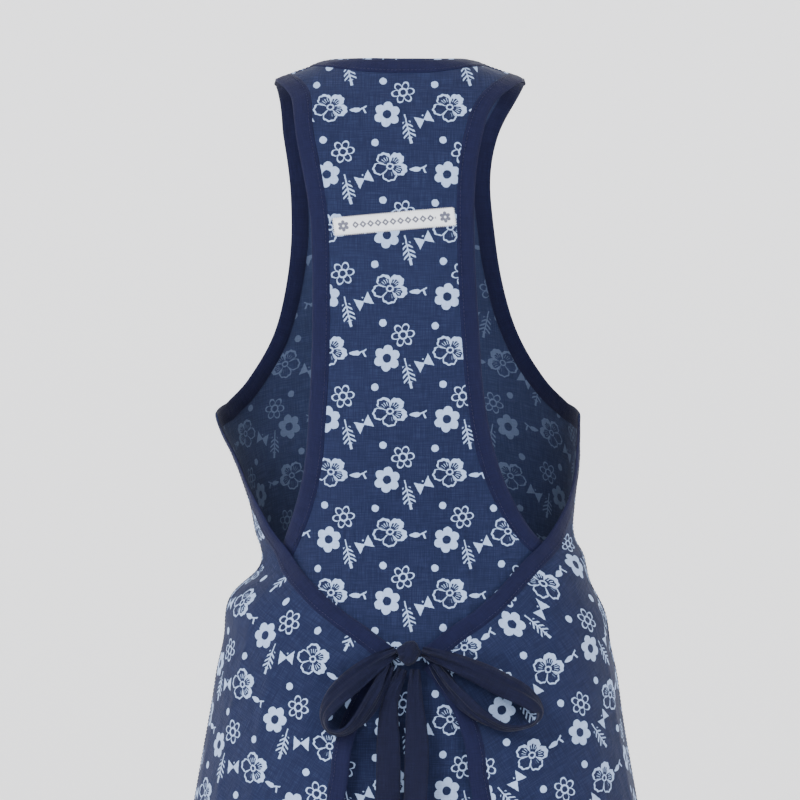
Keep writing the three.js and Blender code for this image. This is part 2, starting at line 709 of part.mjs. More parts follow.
// A loop leaves the knot high, turns round its tip and comes back below.
function bowLoop(side, reach, droop) {
  const stop = (out, down, lift, roll, width) => [
    side * (KNOT_HALF.x + 1.5 + out * reach),
    KNOT_DROP + down * droop,
    lift,
    side * roll,
    width,
  ];
  return tie(
    [
      stop(0, -0.02, 7, 0, TIE_PINCH),
      stop(0.3, 0.12, 10, 20, 0.85 * TIE_WIDTH),
      stop(0.62, 0.36, 15, 45, TIE_WIDTH),
      stop(0.9, 0.66, 16, 65, TIE_WIDTH),
      stop(1, 0.84, 14, 75, TIE_WIDTH),
      stop(0.94, 0.97, 13, 80, TIE_WIDTH),
      stop(0.74, 0.96, 12, 80, TIE_WIDTH),
      stop(0.52, 0.78, 12, 70, TIE_WIDTH),
      stop(0.3, 0.5, 9, 50, 0.85 * TIE_WIDTH),
      stop(0.1, 0.15, 5, 20, TIE_PINCH),
    ],
    30,
  );
}

// A tail falls from the knot and lies down the skirt.
function tieTail(side, out) {
  const start = KNOT_DROP + KNOT_HALF.z + 1.5;
  const reach = (share) => start + share * TAIL_LENGTH;
  return tie(
    [
      [side * 4.8, start, 4, 0, TIE_PINCH],
      [side * (out - 2), reach(0.08), 3, 0, 0.7 * TIE_WIDTH],
      [side * out, reach(0.2), 1, 0, TIE_WIDTH],
      [side * (out + 1), reach(0.45), 1, 0, TIE_WIDTH],
      [side * (out + 2), reach(0.72), 1, 0, TIE_WIDTH],
      [side * (out + 2), reach(1), 1, 0, TIE_WIDTH],
    ],
    22,
  );
}

function knot() {
  const ball = new THREE.SphereGeometry(1, 14, 10);
  ball.scale(KNOT_HALF.x, KNOT_HALF.y, KNOT_HALF.z);
  return ball.translate(KNOT.x, KNOT.y, KNOT.z);
}

// ---- Assembly ----

const mirrorGrid = (grid) => grid.map((row) => mirrored(row));
const flipped = (geometry) => {
  geometry.scale(-1, 1, 1);
  geometry.setIndex(Array.from(geometry.index.array).reverse());
  return geometry;
};
const forSide = (sign, make) => (sign > 0 ? make() : flipped(make()));

add("back_panel", backPanel(), NAVY_PRINT);
add("front_panel", frontPanel(), NAVY_PRINT);
add("neck_binding", binding(NECKLINE, outerLayer, -1), NAVY_PLAIN);
const SIDE = radians(90 - SEAM_TURN);
add("back_hem", hem(-SIDE, SIDE, backLayer, SKIRT_COLUMNS), NAVY_PRINT);
add("front_hem", hem(Math.PI - SIDE, Math.PI + SIDE, outerLayer, SKIRT_COLUMNS), NAVY_PRINT);
add("woven_label", label(), LABEL_WHITE);
add("bow_knot", knot(), NAVY_PLAIN);
add("left_bow_loop", bowLoop(-1, 54, 60), NAVY_PLAIN);
add("right_bow_loop", bowLoop(1, 92, 50), NAVY_PLAIN);
add("left_tie_tail", tieTail(-1, 13), NAVY_PLAIN);
add("right_tie_tail", tieTail(1, 11), NAVY_PLAIN);

const SIDE_SEAM = Array.from({ length: 13 }, (_, i) => ({
  azimuth: RIGHT_ANGLE,
  drop: lerp(RACER_SIDE_DROP + BINDING_WIDTH, HEM_TOP, i / 12),
}));
const SHOULDER_SEAM = shoulderLine(
  NECK.half + BINDING_WIDTH,
  STRAP.half - BINDING_WIDTH,
  false,
  4,
);

for (const [side, sign] of SIDES) {
  const put = (name, make, finish) => add(side + "_" + name, forSide(sign, make), finish);
  put("wing", wing, NAVY_PRINT);
  put("wing_flap", flap, NAVY_PRINT);
  put("back_armhole_binding", () => binding(BACK_ARMHOLE, backLayer, -1), NAVY_PLAIN);
  put("front_edge_binding", () => binding(FRONT_EDGE, outerLayer, 1), NAVY_PLAIN);
  put("wing_edge_binding", () => binding(WING_EDGE, outerLayer, 1), NAVY_PLAIN);
  put("flap_edge_binding", () => binding(FLAP_EDGE, outerLayer, 1), NAVY_PLAIN);
  put(
    "flap_hem",
    () => hem(radians(FLAP_HINGE_AZIMUTH), FLAP_EDGE.at(-1).azimuth, outerLayer, FLAP_COLUMNS),
    NAVY_PRINT,
  );
  put("pocket", () => pocketBand(BINDING_WIDTH + SEAM_GAP, POCKET_HEIGHT, 7, 0), NAVY_PRINT);
  put("pocket_binding", () => pocketBand(0, BINDING_WIDTH, 1, BINDING_PROUD), NAVY_PLAIN);
  put("side_seam", () => seamTape(SIDE_SEAM, SEAM_GAP), NAVY_PRINT);
  put("shoulder_seam", () => seamTape(SHOULDER_SEAM, RIDGE_GAP), NAVY_PRINT);
}

export default apron;
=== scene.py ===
"""The looks of a wrap-back artist smock apron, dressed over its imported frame.

The apron is shown as worn, in metres, +Z up, with its tied back facing -Y. Its cloth is
laid out in millimetres over the shape of the body inside it. A place on the cloth is an
azimuth in radians, 0 at the centre back and a quarter turn at the +X side, and a drop,
the distance down from the point between the shoulders.
"""

import logging
import math
from dataclasses import dataclass, field
from enum import Enum
from functools import partialmethod, reduce
from typing import Callable, Optional, Sequence, Union

import bpy
import numpy as np
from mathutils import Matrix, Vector

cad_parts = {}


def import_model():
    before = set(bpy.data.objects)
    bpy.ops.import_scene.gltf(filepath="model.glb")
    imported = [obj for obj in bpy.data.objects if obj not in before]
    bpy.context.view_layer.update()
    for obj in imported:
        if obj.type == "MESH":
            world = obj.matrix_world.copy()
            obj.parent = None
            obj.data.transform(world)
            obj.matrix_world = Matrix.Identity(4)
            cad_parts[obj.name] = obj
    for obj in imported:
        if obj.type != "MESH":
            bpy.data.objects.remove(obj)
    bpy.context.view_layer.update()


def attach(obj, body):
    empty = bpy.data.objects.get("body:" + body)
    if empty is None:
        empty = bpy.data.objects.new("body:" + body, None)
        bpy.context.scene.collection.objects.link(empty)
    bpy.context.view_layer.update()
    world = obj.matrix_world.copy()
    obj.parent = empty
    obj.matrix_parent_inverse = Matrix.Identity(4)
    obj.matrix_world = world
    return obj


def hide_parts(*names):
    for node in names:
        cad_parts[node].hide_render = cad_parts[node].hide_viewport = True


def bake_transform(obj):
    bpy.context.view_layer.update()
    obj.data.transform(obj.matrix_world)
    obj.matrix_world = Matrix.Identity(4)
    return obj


LOG = logging.getLogger("smock")
MM = 0.001
QUARTER_TURN = math.pi / 2
Colour = tuple[float, float, float]
Places = np.ndarray  # (..., 2): azimuth in radians and drop in millimetres
Points = np.ndarray  # (..., 3): millimetres
Piece = bpy.types.Object
Tree = bpy.types.NodeTree
Socket = bpy.types.NodeSocket
Cloth = bpy.types.Material
Source = Union[Socket, float, int, Sequence[float]]
Inputs = dict[Union[int, str], Source]


class Side(Enum):
    """The two sides of the apron, as seen from behind, with the sign of their X."""

    LEFT = -1
    RIGHT = 1

    @property
    def word(self) -> str:
        """The side's word in the names of pieces."""
        return self.name.lower()


class Layer(Enum):
    """Which of the two cloth layers a piece belongs to."""

    BACK = "back"
    OUTER = "outer"


# ---- the worn shape


def signed_power(value: np.ndarray, exponent: float) -> np.ndarray:
    """The value raised to a power with its sign kept."""
    return np.sign(value) * np.abs(value) ** exponent


def paired(a: np.ndarray, b: np.ndarray) -> np.ndarray:
    """Two arrays, spread to one shape, as the two columns of places or of pattern places."""
    return np.stack(np.broadcast_arrays(a, b), axis=-1)


def directions(vectors: np.ndarray) -> np.ndarray:
    """Vectors brought to a length of 1."""
    return vectors / np.linalg.norm(vectors, axis=-1, keepdims=True)


def distances_along(points: np.ndarray) -> np.ndarray:
    """How far along a polyline each of its points is."""
    return np.append(0.0, np.cumsum(np.linalg.norm(np.diff(points, axis=0), axis=1)))


def curve(t: np.ndarray, ends: Sequence[np.ndarray], slopes: Sequence[np.ndarray]) -> np.ndarray:
    """Where a smooth curve with some slopes at its ends is between them, at t from 0 to 1."""
    shares = 3 * t * t - 2 * t * t * t, t * (1 - t) ** 2, t * t * (t - 1)
    return ends[0] + shares[0] * (ends[1] - ends[0]) + shares[1] * slopes[0] + shares[2] * slopes[1]


def eased(low: float, high: float, value: np.ndarray) -> np.ndarray:
    """0 below low, 1 above high and a smooth step between them."""
    t = np.clip((value - low) / (high - low), 0.0, 1.0)
    return t * t * (3 - 2 * t)


@dataclass(frozen=True)
class WornShape:
    """The body inside the cloth: rings of half width and of depth, by their drop."""

    drops: tuple[float, ...] = (0, 16, 56, 150, 225, 290, 400, 450, 560, 900)
    half: tuple[float, ...] = (60, 104, 186, 176, 160, 147, 127, 147, 168, 228)
    back: tuple[float, ...] = (60, 70, 92, 112, 110, 99, 78, 98, 130, 168)
    front: tuple[float, ...] = (44, 50, 66, 102, 130, 124, 98, 106, 120, 160)
    middle: tuple[float, ...] = (-1, 0, -8, -5.5, -3.5, -2, 6, 7, 7, 7)
    squareness: float = 2.25

    def ring(self, sizes: Sequence[float], drop: np.ndarray) -> np.ndarray:
        """A ring size on a smooth curve through the rings.

        Args:
            sizes: the size at each ring.
            drop: drops at which it is wanted.

        Returns:
            The size at each drop.
        """
        at = np.asarray(self.drops, float)
        value = np.asarray(sizes, float)
        slope = np.diff(value) / np.diff(at)
        tangent = np.concatenate([slope[:1], (slope[:-1] + slope[1:]) / 2, slope[-1:]])
        i = np.clip(np.searchsorted(at, drop, side="right") - 1, 0, len(at) - 2)
        span = at[i + 1] - at[i]
        t = (drop - at[i]) / span
        return curve(t, (value[i], value[i + 1]), (span * tangent[i], span * tangent[i + 1]))

    def depth(self, azimuth: np.ndarray, drop: np.ndarray) -> np.ndarray:
        """How deep the body is at the back or the front, whichever the azimuth is on."""
        return np.where(
            np.cos(azimuth) >= 0, self.ring(self.back, drop), self.ring(self.front, drop)
        )

    def point(self, places: Places) -> Points:
        """The points of the body at some places."""
        azimuth, drop = places[..., 0], places[..., 1]
        share = 2 / self.squareness
        x = self.ring(self.half, drop) * signed_power(np.sin(azimuth), share)
        y = -self.depth(azimuth, drop) * signed_power(np.cos(azimuth), share)
        return np.stack([x, y, -drop], axis=-1)

    def normal(self, places: Places) -> Points:
        """The outward directions at some places, from the gradient of the section.

        Args:
            places: places on the body.

        Returns:
            Unit vectors.
        """
        azimuth, drop = places[..., 0], places[..., 1]
        step = 0.5
        half, depth = self.ring(self.half, drop), self.depth(azimuth, drop)
        half_slope = self.ring(self.half, drop + step) - self.ring(self.half, drop - step)
        depth_slope = self.depth(azimuth, drop + step) - self.depth(azimuth, drop - step)
        s, c = np.sin(azimuth), np.cos(azimuth)
        share = 2 - 2 / self.squareness
        out = np.stack(
            [
                signed_power(s, share) / half,
                -signed_power(c, share) / depth,
                s * s * half_slope / half + c * c * depth_slope / depth,
            ],
            axis=-1,
        )
        return directions(out)

    def locate(self, points: Points) -> Places:
        """The places of points beside the body.

        Args:
            points: points.

        Returns:
            The azimuth and drop of each.
        """
        drop = -points[..., 2]
        half = self.ring(self.half, drop)
        depth = np.where(
            points[..., 1] <= 0, self.ring(self.back, drop), self.ring(self.front, drop)
        )
        power = self.squareness / 2
        azimuth = np.arctan2(
            signed_power(points[..., 0] / half, power), signed_power(-points[..., 1] / depth, power)
        )
        return paired(azimuth, drop)

    def azimuth_at(self, x: np.ndarray, drop: np.ndarray, front: bool = False) -> np.ndarray:
        """The azimuth of points at a distance from the centre line.

        Args:
            x: the distances, negative to the left.
            drop: the drop of each.
            front: whether they are on the front.

        Returns:
            Azimuths in radians.
        """
        share = np.minimum(1.0, np.abs(x) / self.ring(self.half, drop))
        angle = np.sign(x) * np.arcsin(share ** (self.squareness / 2))
        return math.pi - angle if front else angle

    def girth(self, places: Places, from_front: bool) -> np.ndarray:
        """The signed distance round the body from a centre line.

        Args:
            places: places on the body.
            from_front: whether the centre front is the start, or the centre back.

        Returns:
            Distances in millimetres, positive towards larger azimuths.
        """
        start = math.pi if from_front else 0.0
        share = np.linspace(0.0, 1.0, 40)
        azimuth = start + (places[..., :1] - start) * share
        drop = np.broadcast_to(places[..., 1:], azimuth.shape)
        path = self.point(paired(azimuth, drop))
        run = np.linalg.norm(np.diff(path, axis=-2), axis=-1).sum(axis=-1)
        return np.sign(places[..., 0] - start) * run


@dataclass(frozen=True)
class Drape:
    """How the cloth stands off the body: its two layers and their soft folds."""

    shape: WornShape
    rise: float = 4.0
    rise_from: float = 200.0
    rise_to: float = 290.0
    flute: float = 4.4
    knot_drop: float = 485.0

    def wave(self, a: np.ndarray, b: np.ndarray, seed: float) -> np.ndarray:
        """An uneven ripple with no repeat in sight, between -1 and 1.

        Args:
            a: a phase in radians.
            b: a second phase in radians.
            seed: shifts the ripple.

        Returns:
            The ripple at each pair of phases.
        """
        return (
            np.sin(a + 0.9 * np.sin(b * 0.7 + seed) + seed)
            + 0.6 * np.sin(1.618 * a - 0.8 * b + 2.3 * seed)
            + 0.4 * np.sin(2.718 * a + 1.3 * b + 4.1 * seed)
        ) / 2.0

    def folds(self, places: Places, layer: Layer) -> np.ndarray:
        """How far the folds lift the cloth at some places.

        Args:
            places: places on the cloth.
            layer: the cloth's layer.

        Returns:
            Distances outwards in millimetres.
        """
        azimuth, drop = places[..., 0], places[..., 1]
        turn = np.arctan2(np.sin(azimuth), np.cos(azimuth))
        x = self.shape.point(places)[..., 0]
        on_back = eased(-0.1, 0.3, np.cos(azimuth))
        low = eased(420.0, 900.0, drop)
        soft = 0.45 * self.wave(x / 17.0, drop / 26.0, 1.3)
        if layer is Layer.BACK:
            tuck = np.exp(-(((drop - 395.0) / 75.0) ** 2))
            soft = soft + 1.0 * tuck * np.cos((x - 14.0) / 8.5) * np.exp(-((x / 70.0) ** 2))
            pleat = np.exp(-(((np.abs(x) - 44.0 - 0.06 * (drop - 380.0)) / 3.2) ** 2))
            soft = soft + 1.5 * pleat * eased(330.0, 400.0, drop)
            gap = eased(492.0, 600.0, drop) * np.exp(-((x / 78.0) ** 2)) * on_back
            return soft - 11.0 * gap + 1.4 * low * self.wave(4 * turn, drop / 160.0, 0.4)
        out = self.flute * low * self.wave(6.0 * turn, drop / 240.0, 2.2)
        out = out + soft * eased(60.0, 200.0, drop)
        wander = turn * 11.0 + 0.5 * np.sin(drop / 83.0) + 0.25 * np.sin(drop / 37.0)
        crease = np.abs(np.sin(wander)) ** 10 * np.sin(2.7 * turn + drop / 140.0)
        out = out + 1.1 * eased(400.0, 480.0, drop) * crease
        side = x * np.sign(np.where(np.abs(x) < 1e-6, 1.0, x))
        down = drop - self.knot_drop
        reach = np.hypot(side, down) + 1e-6
        pull = np.exp(-(((reach - 62.0) / 46.0) ** 2)) * on_back
        out = out + 1.5 * pull * np.cos(13.0 * np.arctan2(down, side) + np.sign(x) * 0.8)
        waist = np.exp(-(((drop - 430.0) / 60.0) ** 2)) * eased(80.0, 130.0, side)
        out = out + 1.7 * waist * np.sin(drop / 9.5 + side / 22.0 + x / 60.0)
        return out

    def lean(self, places: Places) -> np.ndarray:
        """How far the wrap's pull draws the sides of the waist in or lets them out."""
        azimuth, drop = places[..., 0], places[..., 1]
        nip = np.exp(-(((drop - 410.0) / 17.0) ** 2))
        puff = np.exp(-(((drop - 452.0) / 26.0) ** 2))
        below = eased(290.0, 340.0, drop)
        left = eased(0.35, 1.0, -np.sin(azimuth))
        right = eased(0.35, 1.0, np.sin(azimuth))
        return left * (1.5 * puff - 10.0 * nip - 4.5 * below) + right * (7.0 * below + 2.0 * nip)

    def sway(self, drop: np.ndarray) -> np.ndarray:
        """How far to the right of the centre line the garment hangs at a drop."""
        return self.shape.ring(self.shape.middle, drop)

    def base(self, places: Places, layer: Layer) -> np.ndarray:
        """How far the inner face of a layer stands off the body.

        Args:
            places: places on the cloth.
            layer: the cloth's layer.

        Returns:
            Distances outwards in millimetres.
        """
        shared = self.lean(places)
        if layer is Layer.BACK:
            return self.folds(places, layer) + shared
        lift = self.rise * eased(self.rise_from, self.rise_to, places[..., 1])
        return np.maximum(lift + self.folds(places, layer), lift - 2.0) + shared

    def lifted(self, places: Places, layer: Layer, height: Union[float, np.ndarray]) -> Points:
        """Points at a height above a layer's inner face.

        Args:
            places: places on the cloth.
            layer: the cloth's layer.
            height: one height, or one for each place.

        Returns:
            Points in millimetres.
        """
        off = self.base(places, layer) + height
        points = self.shape.point(places) + self.shape.normal(places) * off[..., None]
        points[..., 0] += self.sway(places[..., 1])
        return points

    def inset(self, edge: Places, distance: Union[float, np.ndarray], inward: int) -> Places:
        """The places at a distance in from an edge.

        Args:
            edge: the places along the edge.
            distance: how far in, once or for each place.
            inward: 1 or -1 for the side that the cloth is on.

        Returns:
            As many places.
        """
        points = self.shape.point(edge)
        closed = np.linalg.norm(points[0] - points[-1]) < 0.5
        before = np.vstack([points[-2] if closed else points[0], points[:-1]])
        after = np.vstack([points[1:], points[1] if closed else points[-1]])
        across = np.cross(self.shape.normal(edge), directions(after - before)) * inward
        across = directions(self.shape.point(self.shape.locate(points + across)) - points)
        found = self.shape.locate(points + across * np.broadcast_to(distance, len(edge))[:, None])
        turns = np.round((edge[:, 0] - found[:, 0]) / (2 * math.pi))
        return paired(found[:, 0] + 2 * math.pi * turns, found[:, 1])


# ---- the cut


def spread_evenly(line: np.ndarray, count: int, scale: Sequence[float] = (1.0, 1.0)) -> np.ndarray:
    """A polyline cut again into even steps.

    Args:
        line: its points, one a row.
        count: the number of steps.
        scale: what each coordinate is multiplied by when its length is measured.

    Returns:
        count + 1 points from its first to its last.
    """
    run = distances_along(line * np.asarray(scale))
    wanted = np.linspace(0.0, run[-1], count + 1)
    return np.stack([np.interp(wanted, run, column) for column in line.T], axis=-1)


def through(points: Sequence[Sequence[float]], steps: int = 24) -> np.ndarray:
    """A smooth line through chosen points.

    Args:
        points: the points.
        steps: samples between one point and the next.

    Returns:
        The line's samples, one a row.
    """
    p = np.asarray(points, float)
    p = np.vstack([2 * p[0] - p[1], p, 2 * p[-1] - p[-2]])
    t = np.linspace(0.0, 1.0, steps, endpoint=False)[:, None]
    made = []
    for a, b, c, d in zip(p, p[1:], p[2:], p[3:]):
        made.append(curve(t, (b, c), ((c - a) / 2, (d - b) / 2)))
    return np.vstack([*made, p[-2:-1]])


def mirrored(places: Places) -> Places:
    """The same places on the other side of the centre back."""
    return places * np.array([-1.0, 1.0])


@dataclass(frozen=True)
class Cut:
    """The outlines that the apron's panels are cut to, on the worn shape."""

    drape: Drape
    strap_half: float = 104.0
    strap_drop: float = 16.0
    neck_half: float = 60.0
    back_neck_dip: float = 4.0
    front_neck_drop: float = 95.0
    racer_half: float = 65.0
    racer_drop: float = 160.0
    racer_side_drop: float = 425.0
    bib_half: float = 86.0
    bib_drop: float = 115.0
    underarm_drop: float = 290.0
    underarm_half: float = 147.0
    knot_drop: float = 485.0
    knot_half: float = 8.5
    edge_knee_drop: float = 575.0
    edge_knee_half: float = 46.0
    edge_hem_half: float = 108.0
    hem_drop: float = 900.0
    shoulder_turn: float = math.radians(0.6)

    def placed(self, line: np.ndarray, front: bool) -> Places:
        """Places on the back or the front for a line of distances from the centre and drops."""
        shape = self.drape.shape
        return paired(shape.azimuth_at(line[:, 0], line[:, 1], front), line[:, 1])

    def back_armhole(self, count: int) -> Places:
        """The +X back armhole, from the shoulder to the side seam.

        Args:
            count: the number of steps along it.

        Returns:
            Its places.
        """
        flare = (self.racer_side_drop - self.racer_drop) / 9
        side = float(self.drape.shape.ring(self.drape.shape.half, np.float64(self.racer_side_drop)))
        half, drop = self.racer_half, self.racer_drop
        lower = ((2, 2.5), (5, 4), (11, 5.5), (21, 6.7), (38, 7.9))
        line = through(
            [
                (self.strap_half, self.strap_drop),
                *((half + out, down) for out, down in ((18, 38), (9, 72), (2, 116), (0, drop))),
                *((half + out, drop + share * flare) for out, share in lower),
                (side - 3, self.racer_side_drop - 2),
            ],
        )
        places = self.placed(spread_evenly(line, count), front=False)
        places[0] = (QUARTER_TURN - self.shoulder_turn, self.strap_drop)
        return places

    def front_armhole(self, count: int) -> Places:
        """The +X front armhole, from the shoulder to the side of the body.

        Args:
            count: the number of steps along it.

        Returns:
            Its places.
        """
        rise = self.underarm_drop - self.bib_drop
        half, drop = self.bib_half, self.bib_drop
        lower = ((5, 0.3), (18, 0.6), (38, 0.83))
        line = through(
            [
                (self.strap_half, self.strap_drop),
                *((half + out, down) for out, down in ((8, 45), (1, 80), (0, drop))),
                *((half + out, drop + share * rise) for out, share in lower),
                (self.underarm_half - 6, self.underarm_drop - 8),
            ],
        )
        places = self.placed(spread_evenly(line, count), front=True)
        places[0] = (QUARTER_TURN + self.shoulder_turn, self.strap_drop)
        return places

    def wing_top(self, count: int) -> Places:
        """The top edge of the +X wing, from the side of the body to the knot.

        Args:
            count: the number of steps along it.

        Returns:
            Its places.
        """
        fall, side = self.knot_drop - self.underarm_drop, self.underarm_half
        shares = [(3, 0.06), (10, 0.16), (20, 0.32), (31, 0.44), (44, 0.55), (74, 0.73)]
        shares += [(95, 0.82), (115, 0.89)]
        line = through(
            [(side - inward, self.underarm_drop + share * fall) for inward, share in shares]
            + [(self.knot_half + 1, self.knot_drop - 4)],
        )
        return self.placed(spread_evenly(line, count), front=False)

    def front_edge(self, count: int) -> Places:
        """The whole +X front edge: armhole, side of the body and wing top.

        Args:
            count: the number of steps along each of its two parts.

        Returns:
            Its places.
        """
        corner = np.array([[QUARTER_TURN, self.underarm_drop]])
        joined = np.vstack([self.front_armhole(count), corner, self.wing_top(count)])
        return spread_evenly(joined, 2 * count, (127.0, 1.0))

    def wing_back(self, start: float, end: float, count: int) -> Places:
        """The +X centre-back edge of a wing between two drops.

        Args:
            start: the upper drop.
            end: the lower drop.
            count: the number of steps along it.

        Returns:
            Its places.
        """
        drop = np.linspace(start, end, count + 1)
        knee = self.edge_knee_drop
        turn = QUARTER_TURN * np.clip((drop - self.knot_drop) / (knee - self.knot_drop), 0, 1)
        share = (drop - knee) / (self.hem_drop - knee)
        below = self.edge_knee_half + (self.edge_hem_half - self.edge_knee_half) * share
        half = np.where(drop < knee, self.edge_knee_half * np.sin(turn) ** 0.8, below)
        return self.placed(paired(half, drop), front=False)

    def neckline(self, count: int) -> Places:
        """The neckline, once round from the centre back by the +X shoulder.

        Args:
            count: the number of steps round it, a multiple of 4.

        Returns:
            Its places, the last on the first.
        """
        turn = np.linspace(0.0, 2 * math.pi, count + 1)
        front = np.cos(turn) < -1e-9
        fall = np.where(front, -self.front_neck_drop, self.back_neck_dip) * np.cos(turn)
        drop = np.maximum(0.0, fall)
        angle = self.drape.shape.azimuth_at(self.neck_half * np.sin(turn), drop)
        azimuth = np.where(front, math.pi - angle, angle + 2 * math.pi * (turn > math.pi))
        return paired(azimuth, drop)

    def top_drops(self, u: np.ndarray, dip: float) -> np.ndarray:
        """The drops along a panel's top edge: a shoulder, the neck and the other shoulder.

        Args:
            u: shares of the half width, from -1 to 1.
            dip: how deep the neck is.

        Returns:
            The drop at each.
        """
        shape, x = self.drape.shape, self.strap_half * u
        ridge = np.linspace(0.0, self.strap_drop, 60)
        over = np.interp(np.abs(x), shape.ring(shape.half, ridge), ridge)
        scoop = dip * np.sqrt(np.clip(1 - (x / self.neck_half) ** 2, 0, 1))
        return np.where(np.abs(x) > self.neck_half, over, scoop) + 1.0

    def shoulder(self, from_x: float, to_x: float, front: bool, count: int) -> Places:
        """The line along the top of the +X shoulder.

        Args:
            from_x: where it starts, in millimetres from the centre.
            to_x: where it ends.
            front: whether it is the front's edge or the back's.
            count: the number of steps along it.

        Returns:
            Its places.
        """
        shape = self.drape.shape
        drops = np.linspace(0.0, 56.0, 400)
        x = np.linspace(from_x, to_x, count + 1)
        drop = np.interp(x, shape.ring(shape.half, drops), drops)
        azimuth = QUARTER_TURN + (self.shoulder_turn if front else -self.shoulder_turn)
        return paired(azimuth, drop)


# ---- shader building


@dataclass
class Wiring:
    """Adds nodes to a tree and joins them up."""

    tree: Tree

    def feed(self, socket: Socket, source: Source) -> None:
        """Join a source to a socket, or set the socket to it where it is a plain value."""
        if isinstance(source, Socket):
            self.tree.links.new(source, socket)
        else:
            socket.default_value = source

    def node(self, kind: str, inputs: Inputs, **settings: object) -> bpy.types.Node:
        """A new node.

        Args:
            kind: the node's type.
            inputs: what its inputs are joined or set to, by their name or number.
            settings: the node's own settings.

        Returns:
            The node.
        """
        made = self.tree.nodes.new(kind)
        for name, value in settings.items():
            setattr(made, name, value)
        for name, value in inputs.items():
            self.feed(made.inputs[name], value)
        return made

    def enumerated(self, kind: str, inputs: Sequence[Source], **settings: object) -> Socket:
        """The first output of a new node whose inputs are given in order."""
        return self.node(kind, dict(enumerate(inputs)), **settings).outputs[0]

    def math(self, operation: str, *values: Source, clamp: bool = False) -> Socket:
        """A Math node's output, kept between 0 and 1 if clamp is set."""
        return self.enumerated("ShaderNodeMath", values, operation=operation, use_clamp=clamp)

    add = partialmethod(math, "ADD")
    less = partialmethod(math, "SUBTRACT")
    times = partialmethod(math, "MULTIPLY")
    over = partialmethod(math, "DIVIDE")
    line = partialmethod(math, "MULTIPLY_ADD")
    size = partialmethod(math, "ABSOLUTE")

    def vector(self, operation: str, *values: Source) -> Socket:
        """A Vector Math node's vector output."""
        return self.enumerated("ShaderNodeVectorMath", values, operation=operation)

    def split(self, vector: Source) -> tuple[Socket, ...]:
        """The X, Y and Z of a vector."""
        return tuple(self.node("ShaderNodeSeparateXYZ", {0: vector}).outputs)

    def join(self, x: Source, y: Source, z: Source = 0.0) -> Socket:
        """A vector of an X, a Y and a Z."""
        return self.enumerated("ShaderNodeCombineXYZ", (x, y, z))

    def noise(self, vector: Source, scale: float, detail: float = 2.0) -> Socket:
        """A Noise Texture's factor."""
        given = {"Vector": vector, "Scale": scale, "Detail": detail}
        return self.node("ShaderNodeTexNoise", given).outputs[0]

    def ramp(self, value: Source, low: float, high: float) -> Socket:
        """A smooth step of a value from 0 at low to 1 at high, whichever is the larger."""
        given = (value, high, low, 1.0, 0.0) if low > high else (value, low, high, 0.0, 1.0)
        return self.enumerated("ShaderNodeMapRange", given, interpolation_type="SMOOTHSTEP")

    def below(self, value: Source, limit: Source, soft: float = 0.35) -> Socket:
        """A mask that is 1 where a value is below a limit, with a soft edge."""
        return self.ramp(self.less(value, limit), soft / 2, -soft / 2)

    def most(self, *masks: Source) -> Socket:
        """The largest of some masks."""
        return reduce(lambda found, mask: self.math("MAXIMUM", found, mask), masks)

    def both(self, *masks: Source) -> Socket:
        """The product of some masks."""
        return reduce(self.times, masks)

    def tint(self, share: Source, a: Source, b: Source, how: str = "MIX") -> Socket:
        """A mix of two colours with some share of the second; each is three numbers or a socket."""
        a, b = (c if isinstance(c, Socket) else (*c, 1.0) for c in (a, b))
        how = {"data_type": "RGBA", "blend_type": how}
        return self.node("ShaderNodeMix", {0: share, 6: a, 7: b}, **how).outputs[2]

    def place(self, tree: Tree, **inputs: Source) -> Sequence[Socket]:
        """The outputs of a node group placed in this tree, whose inputs have _ for a space."""
        given = {name.replace("_", " "): value for name, value in inputs.items()}
        return self.node("ShaderNodeGroup", given, node_tree=tree).outputs


def new_group(name: str, inputs: Sequence[tuple], outputs: Sequence[str]) -> tuple:
    """A shader node group with named sockets.

    Args:
        name: the group's name.
        inputs: the name and default of each input besides its vector.
        outputs: the name of each output, all plain values.

    Returns:
        The tree, its wiring, what it is given and what it gives.
    """
    tree = bpy.data.node_groups.new(name, "ShaderNodeTree")
    tree.interface.new_socket("Vector", in_out="INPUT", socket_type="NodeSocketVector")
    for title, default in inputs:
        made = tree.interface.new_socket(title, in_out="INPUT", socket_type="NodeSocketFloat")
        made.default_value = default
    for title in outputs:
        tree.interface.new_socket(title, in_out="OUTPUT", socket_type="NodeSocketFloat")
    start, end = tree.nodes.new("NodeGroupInput"), tree.nodes.new("NodeGroupOutput")
    return tree, Wiring(tree), start.outputs, end.inputs


@dataclass
class Paint:
    """A material as it is made, with what its nodes are joined to."""

    name: str

    def __post_init__(self) -> None:
        """Start the material."""
        self.material = bpy.data.materials.new(self.name)
        self.material.use_nodes = True
        self.wiring = Wiring(self.material.node_tree)

    def pattern(self) -> Socket:
        """The place on the cloth as it was cut."""
        return self.wiring.node("ShaderNodeUVMap", {}, uv_map="Pattern").outputs[0]

    def space(self) -> Socket:
        """The Object coordinates."""
        return self.wiring.node("ShaderNodeTexCoord", {}).outputs["Object"]

    def finish(self, height: Source, strength: float, **inputs: Source) -> Cloth:
        """Set the shader up.

        Args:
            height: the relief in metres.
            strength: the bump's strength.
            inputs: the shader's inputs, with _ for a space.

        Returns:
            The material.
        """
        given = {"Strength": strength, "Distance": 1.0, "Height": height}
        inputs["Normal"] = self.wiring.node("ShaderNodeBump", given).outputs["Normal"]
        shader = self.material.node_tree.nodes["Principled BSDF"]
        for name, value in inputs.items():
            self.wiring.feed(shader.inputs[name.replace("_", " ")], value)
        return self.material


